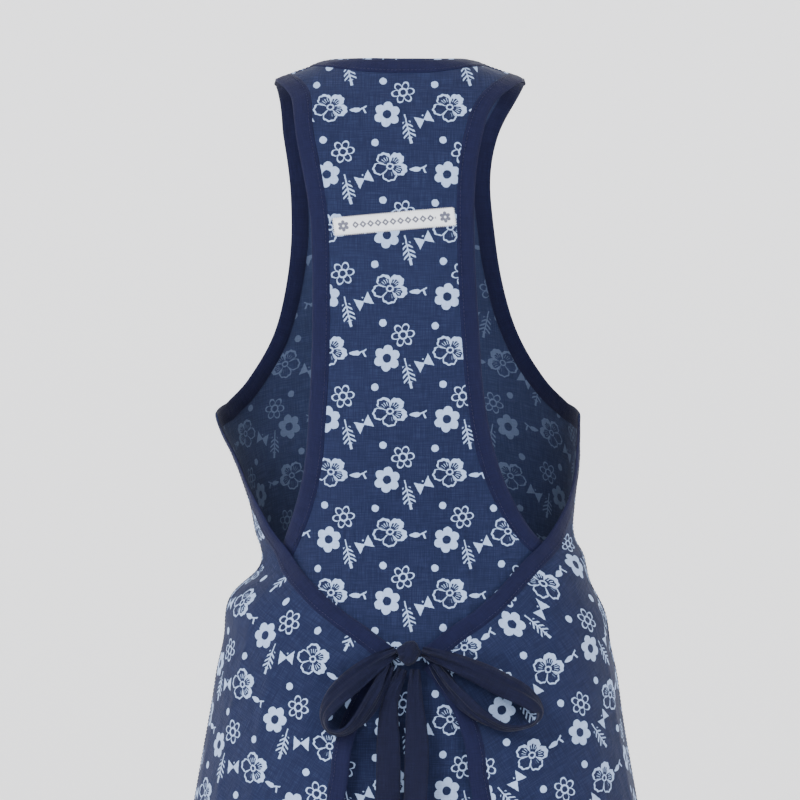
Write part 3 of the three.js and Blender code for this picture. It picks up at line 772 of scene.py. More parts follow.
@dataclass
class FabricEffects:
    """The shader node groups that the apron's fabrics share, each built once."""

    made: dict[str, Tree] = field(default_factory=dict)

    def once(self, name: str) -> Tree:
        """The group of that name, built the first time that it is asked for."""
        if name not in self.made:
            self.made[name] = getattr(self, name)()
        return self.made[name]

    def weave(self) -> Tree:
        """A plain weave of slubby threads: its height and its uneven shade."""
        sizes = [("Thread Pitch", 0.0005), ("Slub", 1.0)]
        tree, w, given, gives = new_group("plain weave", sizes, ["Height", "Shade"])
        across, along, _ = w.split(given["Vector"])
        turn = w.over(math.pi, given["Thread Pitch"])
        warp = w.math("SINE", w.times(across, turn))
        weft = w.math("SINE", w.times(along, turn))
        crowns = w.add(w.size(warp), w.size(weft))
        height = w.add(w.both(warp, weft, 0.5), w.times(crowns, 0.35))
        ends = w.noise(w.join(w.times(across, 1400.0), w.times(along, 60.0)), 1.0)
        picks = w.noise(w.join(w.times(across, 55.0), w.times(along, 1300.0), 7.0), 1.0)
        thick = w.add(w.ramp(ends, 0.34, 0.66), w.ramp(picks, 0.34, 0.66))
        shade = w.times(w.less(thick, 1.0), given["Slub"])
        w.feed(gives["Height"], w.add(height, w.times(shade, 0.5)))
        w.feed(gives["Shade"], shade)
        return tree

    def crumple(self) -> Tree:
        """The faint creases of worn, washed cloth as a height."""
        tree, w, given, gives = new_group("washed creases", [("Depth", 1.0)], ["Height"])
        wide = w.noise(given["Vector"], 38.0, 3.0)
        ridge = w.size(w.less(w.noise(given["Vector"], 90.0, 2.0), 0.5))
        height = w.add(wide, w.times(ridge, -0.7))
        w.feed(gives["Height"], w.times(height, given["Depth"]))
        return tree

    def fading(self) -> Tree:
        """Where raised threads and creases have paled with wear, from 0 to 1."""
        tree, w, given, gives = new_group("worn paling", [("Amount", 0.2)], ["Mask"])
        cloud = w.ramp(w.noise(given["Vector"], 9.0, 4.0), 0.35, 0.75)
        fleck = w.ramp(w.noise(given["Vector"], 700.0, 1.0), 0.55, 0.8)
        mask = w.add(w.times(cloud, 0.7), w.times(fleck, 0.5))
        w.feed(gives["Mask"], w.times(mask, given["Amount"], clamp=True))
        return tree


@dataclass(frozen=True)
class FlowerPrint:
    """The flower print: what is drawn where in each repeat, in millimetres from a solid daisy."""

    step_x: float = 48.0
    step_y: float = 48.8
    outline_daisy: tuple[float, float] = (12.8, 18.4)
    fern: tuple[float, float] = (16.8, -12.0)
    butterfly: tuple[float, float] = (29.6, -4.0)
    pansy: tuple[float, float] = (2.4, -42.4)
    sprig: tuple[float, float] = (-23.2, 4.0)
    dots: tuple[tuple[float, float], ...] = ((-3.2, 28.0), (-9.6, -23.2))

    def nearest(self, w: Wiring, place: Source, offset: Sequence[float], turn: float) -> tuple:
        """Coordinates about the nearest copy of a motif.

        Args:
            w: the wiring to add to.
            place: the place in the print.
            offset: where the motif sits in the repeat.
            turn: how far the motif is turned, in degrees anticlockwise.

        Returns:
            The x and the y along the motif's own axes.
        """
        x, y, _ = w.split(w.vector("SUBTRACT", place, (*offset, 0.0)))
        a = w.over(x, 2 * self.step_x)
        b = w.over(y, 2 * self.step_y)
        s = w.math("ROUND", w.add(a, b))
        t = w.math("ROUND", w.less(a, b))
        near_x = w.line(w.add(s, t), -self.step_x, x)
        near_y = w.line(w.less(s, t), -self.step_y, y)
        if not turn:
            return near_x, near_y
        c, n = math.cos(math.radians(turn)), math.sin(math.radians(turn))
        along = w.add(w.times(near_x, c), w.times(near_y, n))
        up = w.less(w.times(near_y, c), w.times(near_x, n))
        return along, up

    def polar(self, w: Wiring, x: Source, y: Source) -> tuple:
        """The distance from the origin and the angle in radians of a place."""
        square = w.add(w.times(x, x), w.times(y, y))
        return w.math("SQRT", square), w.math("ARCTAN2", y, x)

    def lobes(self, w: Wiring, angle: Source, count: int, start: float, sharp: float) -> Source:
        """How far out, from 0 to 1, a flower's petals reach, one with its middle at start."""
        half = w.times(w.less(angle, math.radians(start)), count / 2)
        return w.math("POWER", w.size(w.math("COSINE", half)), sharp)

    def ring(self, w: Wiring, value: Source, middle: Source, width: float) -> Source:
        """A line of some width where a value passes a middle."""
        return w.below(w.size(w.less(value, middle)), width / 2)

    def solid_daisy(self, w: Wiring, place: Source) -> Source:
        """A solid daisy of six petals with a dark centre."""
        x, y = self.nearest(w, place, (0.0, 0.0), 0.0)
        r, angle = self.polar(w, x, y)
        reach = w.line(self.lobes(w, angle, 6, 83.0, 0.8), 3.2, 7.4)
        return w.both(w.below(r, reach), w.ramp(r, 3.3, 3.8))

    def line_daisy(self, w: Wiring, place: Source) -> Source:
        """An outlined daisy of six petals with a ring in its centre."""
        x, y = self.nearest(w, place, self.outline_daisy, 0.0)
        r, angle = self.polar(w, x, y)
        lobe = self.lobes(w, angle, 6, 10.0, 0.75)
        edge = w.line(lobe, 4.6, 4.3)
        outline = self.ring(w, r, edge, 1.35)
        spoke = w.both(w.below(lobe, 0.42, 0.2), w.below(r, edge), w.ramp(r, 3.4, 3.9))
        return w.most(outline, spoke, self.ring(w, r, 3.1, 1.3))

    def fern_leaf(self, w: Wiring, place: Source) -> Source:
        """A fern sprig of four pairs of leaves on a stalk."""
        x, y = self.nearest(w, place, self.fern, 13.0)
        side = w.size(x)
        lean = w.line(side, 0.75, y)
        beat = w.math("FRACT", w.line(lean, 1 / 3.7, 0.18))
        blade = w.both(w.ramp(beat, 0.12, 0.24), w.ramp(beat, 0.66, 0.52))
        spread = w.line(y, -0.18, 4.3)
        inside = w.below(side, w.math("MINIMUM", spread, 4.9))
        inside = w.both(inside, w.ramp(y, -8.0, -7.2), w.ramp(y, 6.6, 5.8))
        leaves = w.both(blade, inside, w.ramp(side, 0.25, 0.7))
        stem = w.both(w.below(side, 0.5), w.ramp(y, -8.0, -7.4), w.ramp(y, 12.4, 12.0))
        stalk = w.both(w.below(side, 1.05), w.ramp(y, -12.4, -12.0), w.ramp(y, -6.8, -7.2))
        return w.most(leaves, stem, stalk)

    def bow_wings(self, w: Wiring, place: Source) -> Source:
        """A butterfly of two triangles with a dot beside it."""
        x, y = self.nearest(w, place, self.butterfly, 28.0)
        side, height = w.size(x), w.size(y)
        wings = w.both(w.below(height, w.line(side, 0.80, 0.4)), w.below(side, 6.3))
        spot_r, _ = self.polar(w, w.less(x, 0.6), w.less(y, 3.4))
        return w.most(wings, w.below(spot_r, 0.6))

    def pansy_bloom(self, w: Wiring, place: Source) -> Source:
        """A big outlined bloom of five petals, shaded thick along its upper right."""
        x, y = self.nearest(w, place, self.pansy, 0.0)
        wide = w.times(x, 0.86)
        r, angle = self.polar(w, wide, y)
        lobe = self.lobes(w, angle, 5, 52.0, 0.5)
        frill = w.times(w.math("COSINE", w.times(angle, 19.0)), 0.28)
        edge = w.add(w.line(lobe, 4.9, 7.3), frill)
        toward = w.math("COSINE", w.less(angle, math.radians(35.0)))
        thick = w.line(w.ramp(toward, -0.2, 0.9), 2.6, 1.3)
        depth = w.less(edge, r)
        rim = w.both(w.ramp(depth, -0.15, 0.15), w.below(depth, thick))
        fold = w.both(w.below(lobe, 0.46, 0.2), w.ramp(depth, 0.0, 0.3), w.ramp(r, 2.6, 3.4))
        vein_beat = w.size(w.math("SINE", w.times(angle, 12.5)))
        vein = w.both(w.ramp(vein_beat, 0.82, 0.97), w.ramp(r, 4.4, 5.0), w.ramp(r, 8.2, 7.6))
        return w.most(rim, fold, w.both(vein, w.ramp(toward, -0.7, 0.0)), self.ring(w, r, 2.1, 1.1))

    def leaf_sprig(self, w: Wiring, place: Source) -> Source:
        """A small sprig: one leaf, a stem and a short branch."""
        x, y = self.nearest(w, place, self.sprig, 2.0)
        leaf_x = w.over(w.add(x, 2.6), 4.3)
        leaf_y = w.over(y, w.line(x, 0.16, 2.2))
        leaf_r, _ = self.polar(w, leaf_x, leaf_y)
        leaf = w.below(leaf_r, 1.0, 0.15)
        rise = w.line(w.less(x, 1.0), -0.45, y)
        stem = w.both(w.below(w.size(rise), 0.6), w.ramp(x, 0.8, 1.3), w.ramp(x, 7.2, 6.7))
        branch_x = w.line(y, 0.4, w.less(x, 4.6))
        branch = w.both(w.below(w.size(branch_x), 0.75), w.ramp(y, -3.4, -2.9), w.ramp(y, 1.6, 1.2))
        return w.most(leaf, stem, branch)

    def group(self) -> Tree:
        """The whole print as a node group: where there is ink, from 0 to 1."""
        tree, w, given, gives = new_group("flower print", [("Bleed", 0.5)], ["Ink"])
        place = w.vector("SCALE", given["Vector"])
        place.node.inputs["Scale"].default_value = 1000.0
        drift = []
        for at in (place, w.vector("ADD", place, (31.0, 7.0, 0.0))):
            drift.append(w.both(w.less(w.noise(at, 0.42, 2.0), 0.5), given["Bleed"], 2.2))
        place = w.vector("ADD", place, w.join(*drift))
        motifs = (self.solid_daisy, self.line_daisy, self.fern_leaf)
        motifs += (self.bow_wings, self.pansy_bloom, self.leaf_sprig)
        marks = [draw(w, place) for draw in motifs]
        for dot in self.dots:
            r, _ = self.polar(w, *self.nearest(w, place, dot, 0.0))
            marks.append(w.below(r, 2.9))
        w.feed(gives["Ink"], w.math("MINIMUM", w.most(*marks), 1.0))
        return tree


@dataclass(frozen=True)
class ClothFinish:
    """A woven cloth: its colour, its weave and how it takes the light."""

    name: str
    colour: Colour
    dark: Colour
    pale: Colour
    shade: float
    pitch: float
    slub: float
    fade: float
    sheen: float
    roughness: float
    bump: float
    ink: Optional[Colour] = None
    ink_strength: float = 0.0

    def material(self, effects: FabricEffects, flowers: Optional[Tree]) -> Cloth:
        """Build the material.

        Args:
            effects: the shared node groups.
            flowers: the print's node group, where the cloth is printed.

        Returns:
            The material.
        """
        paint = Paint(self.name)
        w, pattern, where = paint.wiring, paint.pattern(), paint.space()
        sizes = {"Thread_Pitch": self.pitch, "Slub": self.slub}
        weave = w.place(effects.once("weave"), Vector=pattern, **sizes)
        crease = w.place(effects.once("crumple"), Vector=where, Depth=1.0)
        worn = w.place(effects.once("fading"), Vector=where, Amount=self.fade)
        shade = weave["Shade"]
        colour = w.tint(w.ramp(shade, -1.0, 1.0), self.dark, self.colour)
        colour = w.tint(w.both(w.ramp(shade, 0.0, 1.6), self.shade), colour, self.pale)
        if flowers is not None and self.ink is not None:
            ink = w.place(flowers, Vector=pattern, Bleed=0.5)["Ink"]
            thin = w.line(w.ramp(shade, -1.0, 1.0), 0.16, 0.84)
            colour = w.tint(w.both(ink, thin, self.ink_strength), colour, self.ink)
        return paint.finish(
            w.add(w.times(weave["Height"], 0.00012), w.times(crease["Height"], 0.0018)),
            self.bump,
            Base_Color=w.tint(worn["Mask"], colour, self.pale),
            Roughness=w.line(w.ramp(shade, -1.0, 1.0), -0.08, self.roughness, clamp=True),
            Sheen_Weight=self.sheen,
            Sheen_Roughness=0.5,
            Specular_IOR_Level=0.16,
        )


@dataclass(frozen=True)
class LabelFinish:
    """The woven label's white ribbon with a generic row of flowers and diamonds."""

    name: str = "woven label ribbon"
    ribbon: Colour = (0.66, 0.68, 0.72)
    figure: Colour = (0.014, 0.018, 0.055)
    half_length: float = 48.2

    def material(self, effects: FabricEffects, flowers: FlowerPrint) -> Cloth:
        """Build the material, whose UV map runs along and across the ribbon in metres.

        Args:
            effects: the shared node groups.
            flowers: lends its way of drawing petals.

        Returns:
            The material.
        """
        paint = Paint(self.name)
        w, pattern = paint.wiring, paint.pattern()
        x, y, _ = w.split(pattern)
        x, y = w.times(x, 1000.0), w.times(y, 1000.0)
        end_x = w.less(w.size(x), self.half_length - 7.5)
        r, angle = flowers.polar(w, end_x, y)
        reach = w.line(flowers.lobes(w, angle, 6, 90.0, 0.6), 2.2, 2.4)
        bloom = w.both(w.below(r, reach, 0.3), w.ramp(r, 0.8, 1.1))
        cell = w.less(w.math("FRACT", w.over(w.add(x, 100.0), 6.0)), 0.5)
        diamond_r = w.add(w.size(w.times(cell, 6.0)), w.size(y))
        middle = w.ramp(w.size(x), 33.5, 33.0)
        diamond = w.both(w.below(w.size(w.less(diamond_r, 2.0)), 0.95), middle)
        mask = w.most(bloom, diamond)
        weave = w.place(effects.once("weave"), Vector=pattern, Thread_Pitch=0.0004, Slub=0.5)
        worn = w.place(effects.once("fading"), Vector=pattern, Amount=0.2)
        colour = w.tint(w.both(mask, 0.95), self.ribbon, self.figure)
        shaded = w.ramp(weave["Shade"], 0.0, 1.0)
        colour = w.tint(shaded, colour, (0.70, 0.72, 0.78), "MULTIPLY")
        return paint.finish(
            w.add(w.times(weave["Height"], 0.0001), w.times(mask, 0.00015)),
            0.6,
            Base_Color=w.tint(worn["Mask"], colour, (0.62, 0.63, 0.66)),
            Roughness=w.line(mask, 0.1, 0.55),
            Sheen_Weight=0.15,
        )


@dataclass(frozen=True)
class ThreadFinish:
    """Sewing thread: two plies, lightly polished, with a painted highlight along the crown of each
    ply.
    """

    name: str
    colour: Colour
    # light: the paler colour, both the painted highlight on the ply crowns and the colour of worn
    # thread
    light: Colour

    def material(self, effects: FabricEffects) -> Cloth:
        """Build the material, which reads Object coordinates.

        Args:
            effects: the shared node groups.

        Returns:
            The material.
        """
        paint = Paint(self.name)
        w, where = paint.wiring, paint.space()
        x, y, z = w.split(where)
        ply = w.math("SINE", w.times(w.add(w.add(x, y), z), 9000.0))
        worn = w.place(effects.once("fading"), Vector=where, Amount=0.4)
        # Painted highlight: the ply crowns, where the bump is highest, are tinted towards the paler
        # colour.
        colour = w.tint(w.ramp(ply, -1.0, 1.0), self.colour, self.light)
        return paint.finish(
            w.times(ply, 0.00006),
            0.5,
            Base_Color=w.tint(worn["Mask"], colour, self.light),
            Roughness=w.line(ply, 0.06, 0.52),
            Specular_IOR_Level=0.2,
        )


# ---- mesh making


def placed(name: str, data: bpy.types.ID) -> Piece:
    """A new object in the scene for a mesh, a light or a camera."""
    made = bpy.data.objects.new(name, data)
    bpy.context.scene.collection.objects.link(made)
    return made


def new_piece(
    name: str, points: Points, faces: np.ndarray, pattern: np.ndarray, materials: Sequence[Cloth],
    wrong_side: slice = slice(0),
) -> Piece:
    """A closed mesh as an object, its faces turned outwards.

    Args:
        name: the piece's name.
        points: its points.
        faces: its four-cornered faces as point numbers, all turned one way.
        pattern: the pattern place of each point in metres.
        materials: the materials, the wrong side's second.
        wrong_side: which faces have the second material.

    Returns:
        The object.
    """
    mesh = bpy.data.meshes.new(name)
    mesh.from_pydata((points * MM).tolist(), [], faces.tolist())
    a, b, c, d = (points[faces[:, i]] for i in range(4))
    volume = (a * (np.cross(b, c) + np.cross(c, d))).sum()
    corner = np.zeros(len(mesh.loops), np.int32)
    mesh.loops.foreach_get("vertex_index", corner)
    layer = mesh.uv_layers.new(name="Pattern")
    layer.data.foreach_set("uv", pattern[corner].astype(np.float32).ravel())
    slots = np.zeros(len(faces), np.int32)
    slots[wrong_side] = len(materials) - 1
    for material in materials:
        mesh.materials.append(material)
    mesh.polygons.foreach_set("material_index", slots)
    if volume < 0:
        mesh.flip_normals()
    mesh.shade_smooth()
    mesh.set_sharp_from_angle(angle=math.radians(62))
    mesh.validate()
    return placed(name, mesh)


def sheet_of(
    name: str, outer: Points, inner: Points, pattern: np.ndarray, materials: Sequence[Cloth]
) -> Piece:
    """A thin closed sheet between two grids of points.

    Args:
        name: the piece's name.
        outer: the right side's points, (rows, columns, 3).
        inner: the wrong side's points, as many.
        pattern: the pattern place of each point of a grid.
        materials: the materials, the wrong side's second.

    Returns:
        The object.
    """
    rows, columns = outer.shape[:2]
    count = rows * columns
    number = np.arange(count).reshape(rows, columns)
    a, b = number[:-1, :-1].ravel(), number[1:, :-1].ravel()
    c, d = number[1:, 1:].ravel(), number[:-1, 1:].ravel()
    front = np.stack([a, b, c, d], axis=-1)
    back = front[:, ::-1] + count
    rim = np.concatenate([number[:, 0], number[-1, 1:], number[-2::-1, -1], number[0, -2:0:-1]])
    after = np.roll(rim, -1)
    sides = np.stack([after, rim, rim + count, after + count], axis=-1)
    faces = np.vstack([front, back, sides])
    points = np.vstack([outer.reshape(-1, 3), inner.reshape(-1, 3)])
    places = np.vstack([pattern.reshape(-1, 2)] * 2)
    return new_piece(name, points, faces, places, materials, slice(len(front), 2 * len(front)))


def tube_of(
    name: str, rings: Points, pattern: np.ndarray, materials: Sequence[Cloth], closed: bool = False
) -> Piece:
    """A closed mesh swept through rings of points.

    Args:
        name: the piece's name.
        rings: the rings, (rings, points, 3), the points of each in order round it.
        pattern: the pattern place of each point.
        materials: the materials.
        closed: whether the last ring joins on to the first.

    Returns:
        The object.
    """
    rows, around = rings.shape[:2]
    number = np.arange(rows * around).reshape(rows, around)
    top = np.vstack([number, number[:1]]) if closed else number
    a, b = top[:-1], top[1:]
    quads = np.stack([a, b, np.roll(b, -1, axis=1), np.roll(a, -1, axis=1)], axis=-1)
    faces = quads.reshape(-1, 4)
    if not closed:
        near = np.arange(around // 2 - 1)
        cap = np.stack([near, near + 1, around - 2 - near, around - 1 - near], axis=-1)
        faces = np.vstack([faces, number[0][cap], number[-1][cap[:, ::-1]]])
    return new_piece(name, rings.reshape(-1, 3), faces, pattern.reshape(-1, 2), materials)


# ---- stitches


@dataclass
class ThreadWork:
    """Stitches and thread made by geometry nodes along polylines."""

    finishes: dict[str, Cloth]

    def tree(self, name: str, sizes: dict[str, float]) -> tuple:
        """A geometry tree with a geometry, some sizes, a seed and a material as its inputs.

        Args:
            name: the tree's name.
            sizes: the default of each size by its name.

        Returns:
            Its wiring, what it is given and the curve along its lines.
        """
        tree = bpy.data.node_groups.new(name, "GeometryNodeTree")
        kinds = {"Geometry": "Geometry", **dict.fromkeys(sizes, "Float")}
        for title, kind in {**kinds, "Seed": "Int", "Material": "Material"}.items():
            made = tree.interface.new_socket(title, in_out="INPUT", socket_type=f"NodeSocket{kind}")
            if title in sizes or title == "Seed":
                made.default_value = sizes.get(title, 7)
        tree.interface.new_socket("Geometry", in_out="OUTPUT", socket_type="NodeSocketGeometry")
        given = tree.nodes.new("NodeGroupInput").outputs
        w = Wiring(tree)
        return w, given, w.node("GeometryNodeMeshToCurve", {"Mesh": given["Geometry"]}).outputs[0]

    def stitch_tree(self) -> Tree:
        """Running stitches laid end to end along each line, with a fixed seed."""
        sizes = {"Pitch": 0.0032, "Stitch Length": 0.0025, "Thread Width": 0.00055}
        w, given, line = self.tree("topstitch", sizes)
        steps = {"Curve": line, "Length": given["Pitch"]}
        even = w.node("GeometryNodeResampleCurve", steps, mode="LENGTH").outputs[0]
        ball = {"Segments": 6, "Rings": 4, "Radius": 0.5}
        bead = w.node("GeometryNodeMeshUVSphere", ball).outputs["Mesh"]
        tangent = w.node("GeometryNodeInputTangent", {}).outputs[0]
        turn = w.node("FunctionNodeAlignRotationToVector", {"Vector": tangent}, axis="Z").outputs[0]
        vary = w.node("FunctionNodeRandomValue", {"Seed": given["Seed"]}, data_type="FLOAT")
        low, high = [s for s in vary.inputs if s.type == "VALUE" and s.enabled][:2]
        low.default_value, high.default_value = 0.88, 1.08
        long = w.times(given["Stitch Length"], [s for s in vary.outputs if s.enabled][0])
        size = w.join(given["Thread Width"], given["Thread Width"], long)
        put = {"Points": even, "Instance": bead, "Rotation": turn, "Scale": size}
        return self.finish_tree(w, w.node("GeometryNodeInstanceOnPoints", put).outputs[0], given)

    def yarn_tree(self) -> Tree:
        """A continuous thread along each line."""
        w, given, line = self.tree("laid thread", {"Thread Width": 0.0005})
        radius = w.times(given["Thread Width"], 0.5)
        ring = w.node("GeometryNodeCurvePrimitiveCircle", {"Resolution": 5, "Radius": radius})
        sweep = {"Curve": line, "Profile Curve": ring.outputs["Curve"], "Fill Caps": True}
        return self.finish_tree(w, w.node("GeometryNodeCurveToMesh", sweep).outputs["Mesh"], given)

    def finish_tree(self, w: Wiring, made: Socket, given: Sequence[Socket]) -> Tree:
        """End a tree in Realize Instances and Set Material.

        Args:
            w: the tree's wiring.
            made: the thread.
            given: the tree's inputs.

        Returns:
            The tree.
        """
        real = w.node("GeometryNodeRealizeInstances", {"Geometry": made}).outputs[0]
        painted = {"Geometry": real, "Material": given["Material"]}
        paint = w.node("GeometryNodeSetMaterial", painted).outputs[0]
        w.node("NodeGroupOutput", {"Geometry": paint})
        return w.tree

    def along(
        self, name: str, lines: Sequence[Points], thread: str = "navy", kind: str = "topstitch",
        **sizes: float,
    ) -> Piece:
        """A plain mesh of stitches or of thread along some polylines.

        Args:
            name: the piece's name.
            lines: the polylines' points.
            thread: which thread.
            kind: the tree, topstitch or laid thread.
            sizes: the tree's inputs by name, with _ for a space.

        Returns:
            The object.
        """
        tree = bpy.data.node_groups.get(kind)
        if tree is None:
            tree = self.stitch_tree() if kind == "topstitch" else self.yarn_tree()
        points = np.vstack(lines) * MM
        edges, first = [], 0
        for line in lines:
            edges += [(first + i, first + i + 1) for i in range(len(line) - 1)]
            first += len(line)
        guide_mesh = bpy.data.meshes.new(name + "_guide")
        guide_mesh.from_pydata(points.tolist(), edges, [])
        guide = placed(name + "_guide", guide_mesh)
        modifier = guide.modifiers.new("thread", "NODES")
        modifier.node_group = tree
        wanted: dict[str, object] = {k.replace("_", " "): v for k, v in sizes.items()}
        wanted["Material"] = self.finishes[thread]
        for item in tree.interface.items_tree:
            if item.item_type == "SOCKET" and item.in_out == "INPUT" and item.name in wanted:
                modifier[item.identifier] = wanted[item.name]
        guide.update_tag()
        bpy.context.view_layer.update()
        graph = bpy.context.evaluated_depsgraph_get()
        mesh = bpy.data.meshes.new_from_object(guide.evaluated_get(graph), depsgraph=graph)
        bpy.data.objects.remove(guide)
        mesh.name = name
        mesh.shade_smooth()
        return placed(name, mesh)


# ---- the workshop


@dataclass
class Workshop:
    """What every sub-assembly needs: the drape, the cut, the finishes and the thread."""

    drape: Drape
    cut: Cut
    finishes: dict[str, Cloth]
    thread: ThreadWork
    cloth: float = 1.2
    back_shift: tuple[float, float] = (-10.4, -246.4)
    hem_height: float = 20.0
    hinge_top: float = 574.3
    hinge_foot: float = 899.3

    def printed(self) -> list[Cloth]:
        """The printed cloth's right side and wrong side."""
        return [self.finishes["print"], self.finishes["wrong side"]]

    def wear(self, piece: Piece, body: str) -> None:
        """Make a piece move with a body of the frame; a wing's flap piece only has its transform
        baked in.

        Args:
            piece: the piece.
            body: the body's name.
        """
        if body.endswith("_flap"):
            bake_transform(piece)
        else:
            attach(piece, body)
        LOG.info("%s: %d faces", piece.name, len(piece.data.polygons))

    def dress(
        self, piece: Piece, slot: str, replaced: Sequence[str], held: str,
        flat: tuple[float, float], rests_on: Sequence[str] = (), body: str = "garment",
        area: Optional[float] = None,
    ) -> None:
        """Put a sheet of cloth in its place and hide the solids that it stands for.

        A binding's flat width is that of the finished band, which is folded once.

        Args:
            piece: the sheet.
            slot: the name of its finish's material slot; not used.
            replaced: the solids that it stands for.
            held: how the cloth is held; not used.
            flat: its width and length as cut, in metres; not used.
            rests_on: what it lies on or hangs from; not used.
            body: the body that it moves with.
            area: its flat area in square metres, where the cut isn't a rectangle; not used.
        """
        self.wear(piece, body)
        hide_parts(*replaced)

    def sew(
        self, name: str, lines: Sequence[Points], slot: str = "binding", body: str = "garment",
        **how: object,
    ) -> None:
        """Run stitches or thread along lines on the cloth.

        Args:
            name: the piece's name.
            lines: the polylines' points.
            slot: the material slot that the thread goes with; not used.
            body: the body that they move with.
            how: the thread, the kind of work and its sizes.
        """
        made = self.thread.along(name, lines, **how)
        self.wear(made, body)

    def turned_hem(
        self, name: str, node: str, azimuth: np.ndarray, layer: Layer,
        print_of: Callable[[Places], np.ndarray], flat: tuple[float, float], body: str = "garment",
    ) -> Points:
        """Make the turned hem along the foot of a panel.

        Args:
            name: the piece's name.
            node: the solid that it stands for.
            azimuth: the azimuths along it.
            layer: the panel's layer.
            print_of: gives the print's place at some places.
            flat: its width and length as cut, in metres.
            body: the body that it moves with.

        Returns:
            The line for its stitching.
        """
        foot = self.cut.hem_drop
        drop = np.linspace(foot - self.hem_height, foot, 7)
        grid = paired(azimuth[None, :], drop[:, None])
        hem = self.cloth_grid(name, grid, layer, print_of(grid), -0.5, self.cloth + 1.0)
        self.dress(hem, "print", [node], "hung", flat, body=body)
        row = paired(azimuth, foot - self.hem_height + 2)
        return self.drape.lifted(row, layer, self.cloth + 0.55)

    def cloth_grid(
        self, name: str, places: Places, layer: Layer, pattern: np.ndarray, rise: float = 0.0,
        thick: Optional[float] = None, materials: Optional[Sequence[Cloth]] = None,
    ) -> Piece:
        """A sheet laid over the body on a grid of places.

        Args:
            name: the piece's name.
            places: the grid, (rows, columns, 2).
            layer: the layer that it is cut from or sewn to.
            pattern: the pattern place of each point in metres.
            rise: how far its inner face is off the layer's inner face.
            thick: its thickness, the cloth's if none is given.
            materials: its materials, the printed cloth's if none are given.

        Returns:
            The object.
        """
        deep = self.cloth if thick is None else thick
        inner = self.drape.lifted(places, layer, rise)
        outer = self.drape.lifted(places, layer, rise + deep)
        return sheet_of(name, outer, inner, pattern, materials or self.printed())

    def back_pattern(self, places: Places) -> np.ndarray:
        """The print's place on the back, whose grain runs straight down."""
        u = self.drape.shape.girth(places, from_front=False) + self.drape.sway(places[..., 1])
        return (paired(u, -places[..., 1]) - self.back_shift) * MM

    def front_pattern(self, places: Places, shift: tuple[float, float] = (0.0, 0.0)) -> np.ndarray:
        """The print's place on the flared front and wings, whose grain fans out.

        Args:
            places: places on the cloth.
            shift: how far the print is moved.

        Returns:
            Pattern places in metres.
        """
        around = self.drape.shape.girth(places, from_front=True)
        drop = places[..., 1]
        radius = np.maximum(200.0 + drop, 450.0)
        fan = around / radius
        x = radius * np.sin(fan)
        y = radius * (1 - np.cos(fan)) - drop
        return (paired(x, y) + shift) * MM

    def binding(
        self, name: str, edge: Places, inward: int, layer: Layer, width: float = 14.6,
        closed: bool = False, seed: float = 0.0,
    ) -> tuple[Piece, Points]:
        """A folded bias strip round an edge, puckered along its stitching.

        Args:
            name: the piece's name.
            edge: the places along the edge.
            inward: 1 or -1 for the side that the cloth is on.
            layer: the layer that it binds.
            width: how far it covers.
            closed: whether the edge is a ring.
            seed: shifts the puckers.

        Returns:
            The strip and the line for its stitching.
        """
        top, low = self.cloth + 0.75, -0.75
        section = [
            (0.99, self.cloth + 0.1), (0.96, top - 0.15), (0.78, top - 0.25), (0.5, top + 0.2),
            (0.2, top), (0.06, top - 0.45), (0.0, 0.6), (0.06, low + 0.45), (0.2, low),
            (0.5, low - 0.15), (0.96, low + 0.15), (0.99, -0.1),
        ]
        run = distances_along(self.drape.shape.point(edge))
        pucker = self.drape.wave(run / 4.6, run / 31.0, seed)
        breathe = self.drape.wave(run / 23.0, run / 90.0, seed + 1.7)
        if closed:
            fade = eased(0.0, 30.0, np.minimum(run, run[-1] - run))
            pucker, breathe = pucker * fade, breathe * fade
        rings, places = [], []
        for share, height in section:
            wide = width * share * (1 + 0.035 * breathe * share)
            at = self.drape.inset(edge, wide, inward)
            lift = height + (0.22 * pucker if height > 0.7 else 0.0) * (share > 0.3)
            rings.append(self.drape.lifted(at, layer, lift + np.zeros(len(edge))))
            places.append(paired(share * width + np.sign(0.6 - height) * 3 + 0 * run, run))
        around = np.stack(rings, axis=1)
        pattern = np.stack(places, axis=1) * MM
        if closed:
            around, pattern = around[:-1], pattern[:-1]
        made = tube_of(name, around, pattern, [self.finishes["binding"]], closed)
        seam_at = self.drape.inset(edge, width * 0.8, inward)
        line = self.drape.lifted(seam_at, layer, top - 0.08 + 0.22 * pucker)
        return made, line


# ---- sub-assemblies


def patch(top: Places, bottom: Places, left: Places, right: Places) -> Places:
    """A grid of places that fills four edges.

    Args:
        top: its first row.
        bottom: its last row.
        left: its first column, from top to bottom.
        right: its last column.

    Returns:
        The grid, (rows, columns, 2).
    """
    v = np.linspace(0, 1, len(left))[:, None, None]
    u = np.linspace(0, 1, len(top))[None, :, None]
    between = (1 - v) * top[None] + v * bottom[None] + (1 - u) * left[:, None] + u * right[:, None]
    upper, lower = (1 - u) * top[0] + u * top[-1], (1 - u) * bottom[0] + u * bottom[-1]
    return between - (1 - v) * upper - v * lower


